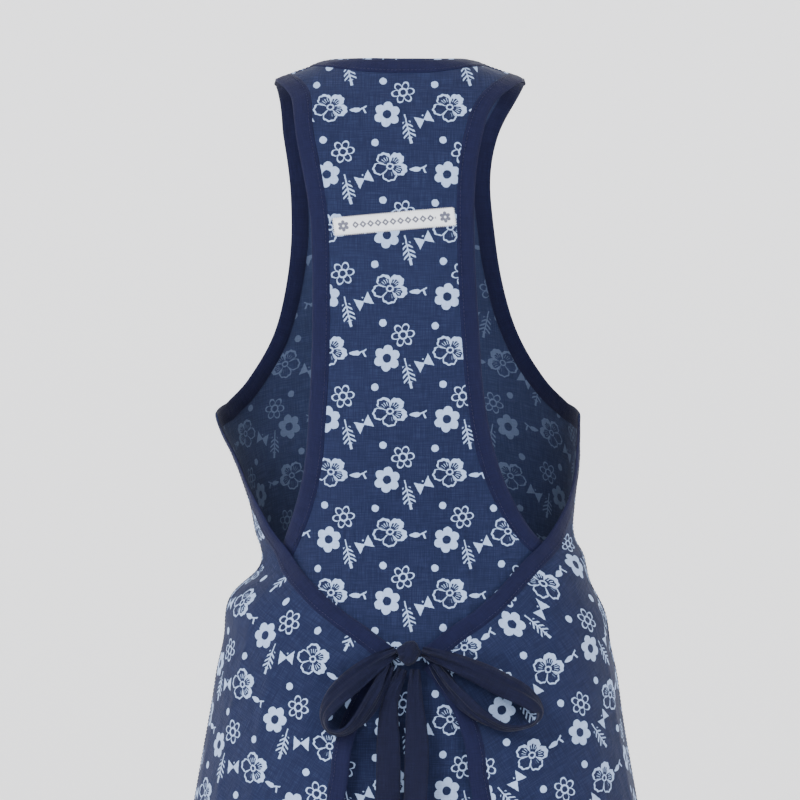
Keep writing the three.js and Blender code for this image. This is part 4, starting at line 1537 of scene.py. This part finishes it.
@dataclass
class BackPanel:
    """The narrow racer back that widens to a whole skirt under the wings."""

    shop: Workshop
    columns: int = 96
    top_rows: int = 104
    skirt_rows: int = 84

    def places(self) -> Places:
        """The whole panel's grid of places."""
        cut, shape = self.shop.cut, self.shop.drape.shape
        u = np.linspace(-1, 1, 2 * self.columns + 1)
        top_drop = cut.top_drops(u, cut.back_neck_dip)
        edge = cut.drape.inset(cut.back_armhole(self.top_rows), 2.0, -1)
        edge_x = shape.point(edge)[:, 0]
        edge_drop = np.maximum.accumulate(edge[:, 1])
        share = eased(0.0, 90.0, edge_drop - edge_drop[0])[:, None]
        rise = (top_drop - top_drop[-1])[None, :] * (1 - share)
        drop = edge_drop[:, None] + rise
        x = edge_x[:, None] * u[None, :]
        reach = shape.ring(shape.half, drop)
        by_x = shape.azimuth_at(np.clip(x, -reach, reach), drop)
        by_turn = edge[:, 0][:, None] * u[None, :]
        low = eased(230.0, 400.0, edge_drop)[:, None]
        azimuth = by_x * (1 - low) + by_turn * low
        upper = paired(azimuth, drop)
        down = np.linspace(0, 1, self.skirt_rows + 1)[1:, None]
        last_drop = drop[-1][None, :]
        below = last_drop + (cut.hem_drop - 0.4 - last_drop) * down
        side = QUARTER_TURN - math.radians(0.15)
        turn = edge[-1, 0] + (side - edge[-1, 0]) * eased(0.0, 0.08, down)
        return np.vstack([upper, paired(turn * u[None, :], below)])

    def build(self) -> None:
        """Make the panel, its hem and the bindings of its two armholes."""
        shop, cut = self.shop, self.shop.cut
        places = self.places()
        panel = shop.cloth_grid("racer_back", places, Layer.BACK, shop.back_pattern(places))
        shop.dress(panel, "print", ["back_panel"], "hung", (0.65, 0.90), area=0.33)
        side = QUARTER_TURN - math.radians(0.3)
        azimuth = np.linspace(-side, side, 150)
        hem = ("back_turned_hem", "back_hem", azimuth, Layer.BACK, shop.back_pattern, (0.020, 0.62))
        lines = [shop.turned_hem(*hem)]
        for side_of in Side:
            edge = cut.back_armhole(190)
            inward = -1
            if side_of is Side.LEFT:
                edge, inward = mirrored(edge), 1
            name = f"{side_of.word}_back_armhole_bias"
            strip, line = shop.binding(name, edge, inward, Layer.BACK, seed=1.0 + side_of.value)
            node = f"{side_of.word}_back_armhole_binding"
            shop.dress(strip, "binding", [node], "stretched", (0.0146, 0.56))
            lines.append(line)
        shop.sew("back_topstitching", lines)


@dataclass
class FrontPanel:
    """The bib and skirt front, with its scooped neck."""

    shop: Workshop
    columns: int = 110
    bib_rows: int = 66
    skirt_rows: int = 104

    def places(self) -> Places:
        """The whole panel's grid of places, from the left shoulder to the right."""
        cut, shape = self.shop.cut, self.shop.drape.shape
        u = np.linspace(-1, 1, 2 * self.columns + 1)
        top_drop = cut.top_drops(u, cut.front_neck_drop)
        count = self.bib_rows
        arm = np.vstack([cut.front_armhole(200), [[QUARTER_TURN, cut.underarm_drop]]])
        arm = spread_evenly(arm, count, (127.0, 1.0))
        edge = cut.drape.inset(arm, 2.0, 1)
        edge[-1] = (QUARTER_TURN + math.radians(0.15), cut.underarm_drop)
        edge_x = shape.point(edge)[:, 0]
        edge_drop = np.maximum.accumulate(edge[:, 1])
        share = ((edge_drop - edge_drop[0]) / (edge_drop[-1] - edge_drop[0]))[:, None]
        drop = edge_drop[:, None] + (top_drop - top_drop[-1])[None, :] * (1 - share)
        x = edge_x[:, None] * u[None, :]
        reach = shape.ring(shape.half, drop)
        by_x = shape.azimuth_at(np.clip(x, -reach, reach), drop, front=True)
        by_turn = math.pi - (math.pi - edge[:, 0][:, None]) * u[None, :]
        low = eased(120.0, 290.0, edge_drop)[:, None]
        azimuth = np.where(low > 0.999, by_turn, by_x * (1 - low) + by_turn * low)
        upper = paired(azimuth, drop)
        down = np.linspace(0, 1, self.skirt_rows + 1)[1:, None]
        last = drop[-1][None, :]
        below = last + (cut.hem_drop - 0.4 - last) * down
        turn = (math.pi - (math.pi - edge[-1, 0]) * u)[None, :] + 0 * below
        return np.vstack([upper, paired(turn, below)])

    def build(self) -> None:
        """Make the panel, its hem, the neck's binding and the shoulder seams."""
        shop, cut = self.shop, self.shop.cut
        places = self.places()
        panel = shop.cloth_grid("bib_front", places, Layer.OUTER, shop.front_pattern(places))
        shop.dress(panel, "print", ["front_panel"], "hung", (0.65, 0.90), area=0.38)
        azimuth = np.linspace(math.radians(90.3), math.radians(269.7), 150)
        hem = ("front_turned_hem", "front_hem", azimuth, Layer.OUTER, shop.front_pattern)
        lines = [shop.turned_hem(*hem, (0.020, 0.62))]
        neck = cut.neckline(168)
        strip, line = shop.binding("neck_bias", neck, -1, Layer.BACK, closed=True, seed=4.0)
        shop.dress(strip, "binding", ["neck_binding"], "stretched", (0.0146, 0.56))
        lines.append(np.vstack([line, line[:1]]))
        for side_of in Side:
            seam, run = self.shoulder_seam(side_of)
            node = f"{side_of.word}_shoulder_seam"
            shop.dress(seam, "print", [node], "stretched", (0.010, 0.046))
            lines += run
        shop.sew("front_topstitching", lines)

    def shoulder_seam(self, side_of: Side) -> tuple[Piece, list[Points]]:
        """The felled seam along one shoulder and its two rows of stitches."""
        shop, cut = self.shop, self.shop.cut
        centre = cut.shoulder(61.0, 103.0, False, 16)
        centre[:, 0] = QUARTER_TURN
        ridge = shop.drape.shape.point(centre)
        rows = []
        for across, lift in ((-5.0, 1.4), (-3.4, 2.4), (0.0, 2.7), (3.4, 2.4), (5.0, 1.4)):
            rows.append(ridge + np.array([0.0, across, lift]))
        top = np.stack(rows, axis=0)
        if side_of is Side.LEFT:
            top = top * np.array([-1.0, 1.0, 1.0])
        low = top - np.array([0.0, 0.0, 1.3])
        pattern = top[..., :2] * MM
        seam = sheet_of(f"{side_of.word}_shoulder_fell", top, low, pattern, shop.printed())
        return seam, [top[1] + (0, 0, 0.1), top[3] + (0, 0, 0.1)]


@dataclass
class WrapWing:
    """One wing: from the side seam round to the tie at the centre back, and down to the hem."""

    shop: Workshop
    side: Side
    shift: tuple[float, float]
    columns: int = 96
    rows: int = 120

    def turned(self, places: Places) -> Places:
        """Places of the +X wing brought to this wing's side."""
        return places if self.side is Side.RIGHT else mirrored(places)

    def places(self) -> Places:
        """The wing's grid of places on the +X side, from its seam to its back edge."""
        cut = self.shop.cut
        seam = QUARTER_TURN - math.radians(0.15)
        top = np.vstack([[[seam, cut.underarm_drop]], cut.wing_top(300)])
        top = spread_evenly(top, self.columns, (140.0, 1.0))
        inset = eased(0.0, 10.0, np.arange(self.columns + 1.0)) * 2.0
        top = cut.drape.inset(top, inset + 0.01, 1)
        back = cut.wing_back(cut.knot_drop + 6.0, cut.hem_drop - 0.4, self.rows)
        back = cut.drape.inset(back, 2.0, 1)
        back[0] = top[-1]
        back[:4] = top[-1] + (back[4] - top[-1]) * np.arange(4)[:, None] / 4
        left = paired(seam, np.linspace(top[0, 1], back[-1, 1], self.rows + 1))
        bottom = paired(np.linspace(seam, back[-1, 0], self.columns + 1), back[-1, 1])
        return patch(top, bottom, left, back)

    def pattern(self, places: Places) -> np.ndarray:
        """The print's place on this wing; the +X side's azimuths grow towards the front."""
        if self.side is Side.RIGHT:
            return self.shop.front_pattern(places, self.shift)
        turned = places + np.array([2 * math.pi, 0.0])
        return self.shop.front_pattern(turned, self.shift)

    def build(self) -> None:
        """Make the wing, its hem, its bindings, its side seam and its stitches."""
        shop, cut, word = self.shop, self.shop.cut, self.side.word
        places = self.turned(self.places())
        wing = shop.cloth_grid(f"{word}_wrap_wing", places, Layer.OUTER, self.pattern(places))
        nodes = [f"{word}_wing", f"{word}_wing_flap"]
        flap = f"{word}_flap"
        shop.dress(wing, "print", nodes, "hung", (0.30, 0.62), body=flap, area=0.105)
        seam = QUARTER_TURN - math.radians(0.3)
        end = float(cut.wing_back(cut.hem_drop - 1, cut.hem_drop, 1)[-1, 0])
        azimuth = np.linspace(seam, end + math.radians(1.5), 80)
        azimuth = azimuth if self.side is Side.RIGHT else -azimuth
        hem = (f"{word}_wing_turned_hem", f"{word}_flap_hem", azimuth, Layer.OUTER, self.pattern)
        low_lines = [shop.turned_hem(*hem, (0.020, 0.22), flap)]
        flip = 1 if self.side is Side.RIGHT else -1
        edge = self.turned(cut.front_edge(150))
        name = f"{word}_front_edge_bias"
        strip, line = shop.binding(name, edge, flip, Layer.OUTER, seed=2.0 * flip)
        node = f"{word}_front_edge_binding"
        shop.dress(strip, "binding", [node], "stretched", (0.0146, 0.70))
        shop.sew(f"{word}_front_edge_topstitching", [line])
        edge = self.turned(cut.wing_back(cut.knot_drop + 10.0, cut.hem_drop, 140))
        name = f"{word}_wing_edge_bias"
        strip, line = shop.binding(name, edge, flip, Layer.OUTER, seed=3.0 * flip)
        nodes = [f"{word}_wing_edge_binding", f"{word}_flap_edge_binding"]
        shop.dress(strip, "binding", nodes, "hung", (0.0146, 0.44), body=flap)
        low_lines.append(line)
        shop.sew(f"{word}_wing_topstitching", low_lines, body=flap)
        self.side_seam()

    def side_seam(self) -> None:
        """Make the felled seam down the side of the body."""
        shop, cut = self.shop, self.shop.cut
        drop = np.linspace(cut.underarm_drop + 14, cut.hem_drop - 1.0, 130)
        depth = shop.drape.shape.depth(QUARTER_TURN, drop)
        rows = []
        for across, lift in ((-5.0, 0.9), (-3.6, 1.7), (0.0, 1.9), (3.6, 1.7), (5.0, 0.9)):
            place = paired(QUARTER_TURN + across / depth * 0.45, drop)
            rows.append(shop.drape.lifted(self.turned(place), Layer.OUTER, lift))
        top = np.stack(rows, axis=0)
        out = np.array([float(self.side.value), 0.0, 0.0])
        pattern = paired(top[..., 1], top[..., 2]) * MM
        name = f"{self.side.word}_side_fell"
        seam = sheet_of(name, top, top - out, pattern, shop.printed())
        node = f"{self.side.word}_side_seam"
        shop.dress(seam, "print", [node], "hung", (0.010, 0.60))
        lines = [top[1] + out * 0.12, top[3] + out * 0.12]
        shop.sew(f"{self.side.word}_side_topstitching", lines, "print")


@dataclass
class PatchPocket:
    """A patch pocket on one side of the front, with a bound mouth."""

    shop: Workshop
    side: Side
    width: float = 150.0
    height: float = 180.0
    top_drop: float = 505.0
    out: float = 92.0
    ease: float = 18.0

    def places(self) -> Places:
        """The pocket's grid of places on the +X side of the front."""
        rows, columns = 44, 38
        v = np.linspace(0, 1, rows + 1)[:, None]
        u = np.linspace(-0.5, 0.5, columns + 1)[None, :]
        corner = np.clip((v - 0.88) / 0.12, 0, 1) ** 2 * 0.06
        round_off = 10.0 * np.clip(np.abs(u) * 2 - 0.8, 0, 1) ** 2 * (v > 0.9)
        drop = self.top_drop + self.height * v - round_off
        around = (self.width * (u * (1 - corner)) + self.out) + 0 * v
        girth = np.array([self.arc(float(d)) for d in drop[:, 0]])[:, None]
        return paired(math.pi - around / girth, drop)

    def arc(self, drop: float) -> float:
        """Millimetres of cloth for one radian of azimuth near the pocket's middle."""
        shape = self.shop.drape.shape
        places = np.array([[math.pi - 0.75, drop]])
        return abs(float(shape.girth(places, True)[0])) / 0.75

    def build(self) -> None:
        """Make the pocket, its bound mouth and its stitches."""
        shop, word = self.shop, self.side.word
        right = self.places()
        rows, columns = right.shape[:2]
        v = np.linspace(0, 1, rows)[:, None]
        u = np.linspace(-1, 1, columns)[None, :]
        gape = self.ease * 0.5 * (1 - v) ** 1.5 * (1 - u**2) ** 1.2 + 0.6 * (1 - u**4) * (1 - v**6)
        turned = right
        if self.side is Side.LEFT:
            turned = paired(2 * math.pi - right[..., 0], right[..., 1])
        inner = shop.drape.lifted(turned, Layer.OUTER, shop.cloth + 0.15 + gape)
        outer = shop.drape.lifted(turned, Layer.OUTER, 2 * shop.cloth + 0.15 + gape)
        pattern = shop.front_pattern(turned, (21.0 * self.side.value, 13.0))
        bag = sheet_of(f"{word}_patch_pocket", outer, inner, pattern, shop.printed())
        node = f"{word}_pocket"
        shop.dress(bag, "print", [node], "hung", (0.150, 0.185), ["bib_front"])
        band = 5
        rise = outer[: band + 1] + (outer[: band + 1] - inner[: band + 1]) * 0.5
        sink = inner[: band + 1] - (outer[: band + 1] - inner[: band + 1]) * 0.4
        u_place = paired(u * 0.075, v[: band + 1] * 0.18)
        mouth = sheet_of(f"{word}_pocket_bias", rise, sink, u_place, [shop.finishes["binding"]])
        node = f"{word}_pocket_binding"
        shop.dress(mouth, "binding", [node], "stretched", (0.0205, 0.152), ["bib_front"])
        off = (outer - inner) * 0.12
        path = outer + off
        lines = [path[5:, 1], path[-2, 1:-1], path[5:, -2]]
        lines.append(rise[4] + (outer[4] - inner[4]) * 0.1)
        shop.sew(f"{word}_pocket_topstitching", lines)


@dataclass
class WovenLabel:
    """The woven ribbon sewn across the back below the neck."""

    shop: Workshop
    length: float = 96.5
    width: float = 13.6
    drop: float = 138.0
    tilt: float = math.radians(5.0)
    shift_x: float = 1.4

    def places(self, along: np.ndarray, across: np.ndarray) -> Places:
        """Places under points of the ribbon.

        Args:
            along: distances along it from its middle.
            across: distances up from its middle line.

        Returns:
            The places.
        """
        c, s = math.cos(self.tilt), math.sin(self.tilt)
        x = self.shift_x + along * c - across * s
        drop = self.drop - along * s - across * c
        return paired(self.shop.drape.shape.azimuth_at(x, drop), drop)

    def build(self) -> None:
        """Make the ribbon and the stitches round its edge."""
        shop = self.shop
        u = np.linspace(-0.5, 0.5, 99)[None, :] * self.length
        v = np.linspace(0.5, -0.5, 13)[:, None] * self.width
        places = self.places(u + 0 * v, v + 0 * u)
        curl = 0.35 * np.sin(u / 6.0) * (np.abs(v) / self.width) ** 2 + 0.1 * np.sin(u / 2.2 + v)
        low = shop.drape.lifted(places, Layer.BACK, shop.cloth + 0.1 + 0 * curl)
        high = shop.drape.lifted(places, Layer.BACK, shop.cloth + 0.85 + curl)
        pattern = paired(u, v) * MM
        ribbon = sheet_of("woven_label_ribbon", high, low, pattern, [shop.finishes["label"]])
        flat = (0.0138, 0.0970)
        shop.dress(ribbon, "label", ["woven_label"], "laid", flat, ["racer_back"])
        step = np.arange(-self.length / 2 + 0.8, self.length / 2 - 0.4, 1.5)
        loops = []
        over = np.array([-1.5, -0.4, 0.7])
        rise = np.array([0.95, 0.95, 0.15]) + shop.cloth
        for sign in (-1, 1):
            for at in step:
                line = self.places(at + np.array([0.0, 0.25, 0.1]), sign * (over + self.width / 2))
                loops.append(shop.drape.lifted(line, Layer.BACK, rise))
        for sign in (-1, 1):
            for at in np.arange(-self.width / 2 + 1.0, self.width / 2, 1.5):
                line = self.places(sign * (over + self.length / 2), at + np.zeros(3))
                loops.append(shop.drape.lifted(line, Layer.BACK, rise))
        how = {"thread": "white", "kind": "laid thread", "Thread_Width": 0.0006}
        shop.sew("label_whipstitch", loops, "label", **how)


@dataclass
class TiedBow:
    """The waist ties knotted in a bow at the small of the back."""

    shop: Workshop
    knot: tuple[float, float, float] = (0.0, -124.12, -480.37)
    knot_half: tuple[float, float, float] = (8.5, 6.5, 10.0)
    thick: float = 1.3
    tail_length: float = 315.0
    reach: tuple[float, float] = (52.0, 84.0)
    droop: tuple[float, float] = (60.0, 57.0)

    def ribbon(
        self, name: str, centre: Points, across: Points, out: Points, width: np.ndarray,
        seed: float, crush: np.ndarray,
    ) -> Piece:
        """A flat ribbon along a line, with a folded edge and creases that run along it.

        Args:
            name: the piece's name.
            centre: the points along its middle.
            across: the direction of its width at each.
            out: the direction that its right side faces at each.
            width: its width at each.
            seed: shifts its creases.
            crush: how creased it is at each.

        Returns:
            The object.
        """
        run = distances_along(centre)
        v = np.linspace(-0.5, 0.5, 15)
        thin = self.thick * (1 - 0.55 * np.clip(np.abs(v) * 2 - 0.86, 0, 1) / 0.14)
        s = run[:, None] / 19.0
        lengthwise = np.sin(11 * v + seed + s) + 0.6 * np.sin(23 * v - 0.7 * s + 2 * seed)
        ripple = 0.35 * np.sin(run[:, None] / 5.5 + 4 * v[None, :] + seed)
        lift = crush[:, None] * (lengthwise + ripple) * (1 - (1.9 * np.abs(v)) ** 4 * 0.4)
        cup = 0.10 * width[:, None] * (1 - (2 * v[None, :]) ** 2)
        at = centre[:, None] + across[:, None] * (width[:, None] * v)[..., None]
        at = at + out[:, None] * (lift + cup)[..., None]
        half = out[:, None] * (thin[None, :] / 2)[..., None]
        pattern = paired(v[None, :] * 0.019, run[:, None] * MM)
        return sheet_of(name, at + half, at - half, pattern, [self.shop.finishes["tie"]])

    def framed(self, centre: Points, roll: np.ndarray, sign: int) -> tuple[Points, Points]:
        """The width and facing directions of a ribbon that is rolled about its own line.

        Args:
            centre: the points along its middle.
            roll: how far it is rolled at each, in degrees.
            sign: which way it rolls.

        Returns:
            The directions across it and out from it.
        """
        along = directions(np.gradient(centre, axis=0))
        back = np.array([0.0, -1.0, 0.0])
        side = directions(np.cross(along, back))
        face = np.cross(side, along)
        angle = np.radians(roll)[:, None] * sign
        across = side * np.cos(angle) + face * np.sin(angle)
        return across, np.cross(across, along)

    def loop(self, side: Side) -> Piece:
        """One loop of the bow, out from the knot, over and back."""
        i = 0 if side is Side.LEFT else 1
        stops = [
            (0, -0.02, 7, 0, 8), (0.3, 0.14, 10, 8, 15), (0.62, 0.38, 12, 14, 19),
            (0.88, 0.62, 13, 38, 19), (1, 0.82, 12, 68, 19), (0.94, 0.97, 11, 80, 19),
            (0.74, 0.99, 10, 74, 19), (0.52, 0.84, 9, 52, 19), (0.3, 0.54, 8, 38, 16),
            (0.1, 0.15, 5, 20, 8),
        ]
        made = through([s[2:] for s in stops], steps=14)
        flat = through([s[:2] for s in stops], steps=14)
        x = side.value * (10 + flat[:, 0] * self.reach[i])
        drop = 485 + flat[:, 1] * self.droop[i]
        shape = self.shop.drape.shape
        place = paired(shape.azimuth_at(x, drop), drop)
        centre = self.shop.drape.lifted(place, Layer.OUTER, made[:, 0] + 3.6)
        across, out = self.framed(centre, made[:, 1], side.value)
        share = np.linspace(0, 1, len(centre))
        crush = 0.55 + 1.2 * (np.exp(-share * 7) + np.exp(-(1 - share) * 7))
        name = f"{side.word}_bow_loop_ribbon"
        return self.ribbon(name, centre, across, out, made[:, 2], 1.0 + i, crush)

    def tail(self, side: Side) -> Piece:
        """One tail of the bow, hanging from the knot."""
        i = 0 if side is Side.LEFT else 1
        out_x = (16.5, 6.5)[i]
        length = self.tail_length
        stops = [
            (4.8, 0.0, 4.0, 8.0), (out_x - 2, 0.08, 3.0, 13.3), (out_x, 0.2, 2.2, 19.0),
            (out_x + 1, 0.45, 2.0, 19.0), (out_x + 2, 0.72, 2.0, 19.0), (out_x + 2, 1.0, 2.0, 19.0),
        ]
        made = through(stops, steps=22)
        drop = 496.5 + made[:, 1] * length
        sway = 2.6 * np.sin(made[:, 1] * 9 + i * 2.0) * eased(0.1, 0.4, made[:, 1])
        x = side.value * made[:, 0] + sway
        shape = self.shop.drape.shape
        place = paired(shape.azimuth_at(x, drop), drop)
        centre = self.shop.drape.lifted(place, Layer.OUTER, made[:, 2] + 2.2)
        roll = 22.0 * np.sin(made[:, 1] * 8.0 + 1.0 + i) * eased(0.05, 0.3, made[:, 1])
        across, out = self.framed(centre, roll, side.value)
        crush = 0.12 + 0.9 * np.exp(-made[:, 1] * 14)
        name = f"{side.word}_tie_tail_ribbon"
        return self.ribbon(name, centre, across, out, made[:, 3], 3.0 + i, crush)

    def knot_wrap(self) -> Piece:
        """The knot: a band of tie drawn tight over the others, with folds across it."""
        rows, around = 41, 56
        lat = np.linspace(-1, 1, rows) * 0.985 * math.pi / 2
        lon = np.linspace(0, 2 * math.pi, around, endpoint=False)
        a, b = np.meshgrid(lat, lon, indexing="ij")
        x = signed_power(np.cos(b), 0.8) * signed_power(np.cos(a), 0.62)
        y = signed_power(np.sin(b), 0.8) * signed_power(np.cos(a), 0.62)
        z = signed_power(np.sin(a), 0.8)
        folds = 0.07 * np.sin(5.0 * x + 3.0 * z + 0.5) + 0.05 * np.sin(11.0 * x - 5.0 * z)
        waist = 1 + 0.16 * np.cos(3.0 * z) * np.abs(x) ** 2
        grow = (1 + folds) * waist
        half = np.array(self.knot_half) * (0.96, 1.0, 0.92)
        points = np.stack([x * grow, y * grow, z * (1 + 0.10 * np.sin(4 * x + 1))], axis=-1) * half
        lean = math.radians(16)
        c, n = math.cos(lean), math.sin(lean)
        turn = np.array([[c, 0, n], [0, 1, 0], [-n, 0, c]])
        points = points @ turn.T + np.array(self.knot)
        points[..., 0] += float(self.shop.drape.sway(np.float64(-self.knot[2])))
        pattern = paired(b / 9.0, a * 9.0) * MM * 5
        return tube_of("bow_knot_wrap", points, pattern, [self.shop.finishes["tie"]])

    def build(self) -> None:
        """Make the knot, the two loops and the two tails."""
        shop = self.shop
        knot = self.knot_wrap()
        shop.wear(knot, "garment")
        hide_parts("bow_knot")
        on = ["bow_knot_wrap"]
        for side, length in ((Side.LEFT, 0.19), (Side.RIGHT, 0.24)):
            node, body = [f"{side.word}_bow_loop"], f"{side.word}_loop"
            shop.dress(self.loop(side), "tie", node, "folded", (0.019, length), on, body)
            node, body = [f"{side.word}_tie_tail"], f"{side.word}_tail"
            shop.dress(self.tail(side), "tie", node, "hung", (0.019, 0.318), on, body)


# ---- the studio


@dataclass
class Studio:
    """A plain pale bowl of a floor, soft lights and the camera square on to the tied back."""

    floor: float = -1.48
    radius: float = 7.5
    lens: float = 140.0
    cloth_plane: float = -0.10
    view_width: float = 0.640
    look: float = -0.280

    def camera(self) -> None:
        """Make the camera."""
        data = bpy.data.cameras.new("view from behind")
        data.lens = self.lens
        data.sensor_width = 36.0
        away = self.view_width * self.lens / data.sensor_width
        made = placed("view from behind", data)
        made.location = (0.0, self.cloth_plane - away, self.look)
        made.rotation_euler = (QUARTER_TURN, 0.0, 0.0)
        bpy.context.scene.camera = made

    def sweep(self) -> None:
        """Make the floor, which curves up into a wall all round."""
        profile = [(r, 0.0) for r in (1.5, 3.0, 4.5, 5.5)]
        for angle in np.linspace(0.0, QUARTER_TURN, 9)[1:]:
            profile.append((5.5 + 2 * math.sin(angle), 2 * (1 - math.cos(angle))))
        profile += [(self.radius, 4.0), (self.radius, 6.5)]
        around = 72
        turns = [2 * math.pi * k / around for k in range(around)]
        points = [(0.0, 0.0, self.floor)]
        for r, z in profile:
            points += [(r * math.cos(t), r * math.sin(t), self.floor + z) for t in turns]
        faces = [(0, 1 + k, 1 + (k + 1) % around) for k in range(around)]
        for first in range(1, len(points) - around, around):
            for k in range(around):
                a, b = first + k, first + (k + 1) % around
                faces.append((a, a + around, b + around, b))
        mesh = bpy.data.meshes.new("studio_floor")
        mesh.from_pydata(points, [], faces)
        mesh.shade_smooth()
        paint = Paint("pale studio paper")
        w = paint.wiring
        cloud = w.noise(paint.space(), 0.6, 2.0)
        shader = paint.material.node_tree.nodes["Principled BSDF"]
        w.feed(shader.inputs["Base Color"], w.tint(cloud, (0.89, 0.89, 0.90), (0.91, 0.91, 0.92)))
        shader.inputs["Roughness"].default_value = 0.95
        shader.inputs["Specular IOR Level"].default_value = 0.05
        shader.inputs["Emission Color"].default_value = (0.99, 0.99, 1.0, 1.0)
        shader.inputs["Emission Strength"].default_value = 0.44
        mesh.materials.append(paint.material)
        placed("studio_floor", mesh)

    def lights(self) -> None:
        """Make the soft lights and the even sky."""
        world = bpy.data.worlds.new("studio air")
        world.use_nodes = True
        world.node_tree.nodes["Background"].inputs["Color"].default_value = (1.0, 1.0, 1.0, 1.0)
        world.node_tree.nodes["Background"].inputs["Strength"].default_value = 1.05
        bpy.context.scene.world = world
        for name, place, size, power in (
            ("high soft box", (-2.2, -2.6, 1.9), 1.8, 210.0),
            ("side fill", (3.0, -2.2, 0.4), 2.2, 36.0),
            ("back fill", (0.6, 3.4, 1.4), 2.6, 80.0),
        ):
            data = bpy.data.lights.new(name, "AREA")
            data.size = size
            data.energy = power
            made = placed(name, data)
            made.location = place
            aim = Vector((0.0, 0.0, -0.45)) - Vector(place)
            made.rotation_euler = aim.to_track_quat("-Z", "Y").to_euler()


NAVY = (0.0064, 0.0110, 0.0410)


def finishes() -> dict[str, Cloth]:
    """Every finish on the apron, by its short name."""
    effects = FabricEffects()
    flowers = FlowerPrint()
    drawn = flowers.group()
    ink = (0.315, 0.42, 0.64)
    cottons = {
        "print": ClothFinish(
            "printed navy cotton", NAVY, (0.0044, 0.0076, 0.0300), (0.022, 0.032, 0.085),
            0.45, 0.00052, 1.0, 0.14, 0.03, 0.90, 0.8, ink, 0.96,
        ),
        "wrong side": ClothFinish(
            "navy cotton wrong side", (0.0140, 0.0220, 0.0600), (0.0095, 0.0150, 0.0440),
            (0.036, 0.050, 0.105), 0.4, 0.00052, 1.0, 0.15, 0.05, 0.90, 0.8,
            (0.085, 0.115, 0.19), 0.7,
        ),
        "binding": ClothFinish(
            "indigo bias binding", (0.0029, 0.0041, 0.0280), (0.0020, 0.0029, 0.0200),
            (0.0075, 0.0105, 0.0480), 0.35, 0.00042, 0.7, 0.10, 0.03, 0.88, 0.8,
        ),
        # The tie's colours are darker than the binding's: on top of the tie's own indigo they hold
        # painted shade for the shadow that the bow's loops and tails hang in.
        "tie": ClothFinish(
            "indigo tie cotton", (0.0016, 0.0027, 0.0170), (0.0010, 0.0018, 0.0120),
            (0.0045, 0.0075, 0.0360), 0.35, 0.00042, 0.8, 0.12, 0.03, 0.88, 0.8,
        ),
    }
    made = {}
    for word, cloth in cottons.items():
        made[word] = cloth.material(effects, drawn if cloth.ink else None)
    made["label"] = LabelFinish().material(effects, flowers)
    # Each thread's second colour is the painted highlight on its ply crowns and also its worn
    # colour.
    navy = ThreadFinish("navy sewing thread", (0.0030, 0.0038, 0.023), (0.0075, 0.0095, 0.036))
    white = ThreadFinish("white sewing thread", (0.56, 0.57, 0.60), (0.66, 0.67, 0.70))
    made["navy"] = navy.material(effects)
    made["white"] = white.material(effects)
    return made


def main() -> None:
    """Dress the whole apron over its frame and set the studio up."""
    logging.basicConfig(level=logging.INFO, format="%(name)s: %(message)s")
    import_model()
    Studio().camera()
    made = finishes()
    drape = Drape(WornShape())
    shop = Workshop(drape, Cut(drape), made, ThreadWork(made))
    BackPanel(shop).build()
    FrontPanel(shop).build()
    for side, shift in ((Side.LEFT, (-1.7, 14.7)), (Side.RIGHT, (28.2, -9.5))):
        WrapWing(shop, side, shift).build()
        PatchPocket(shop, side).build()
    WovenLabel(shop).build()
    TiedBow(shop).build()
    Studio().sweep()
    Studio().lights()


if __name__ == "__main__":
    main()
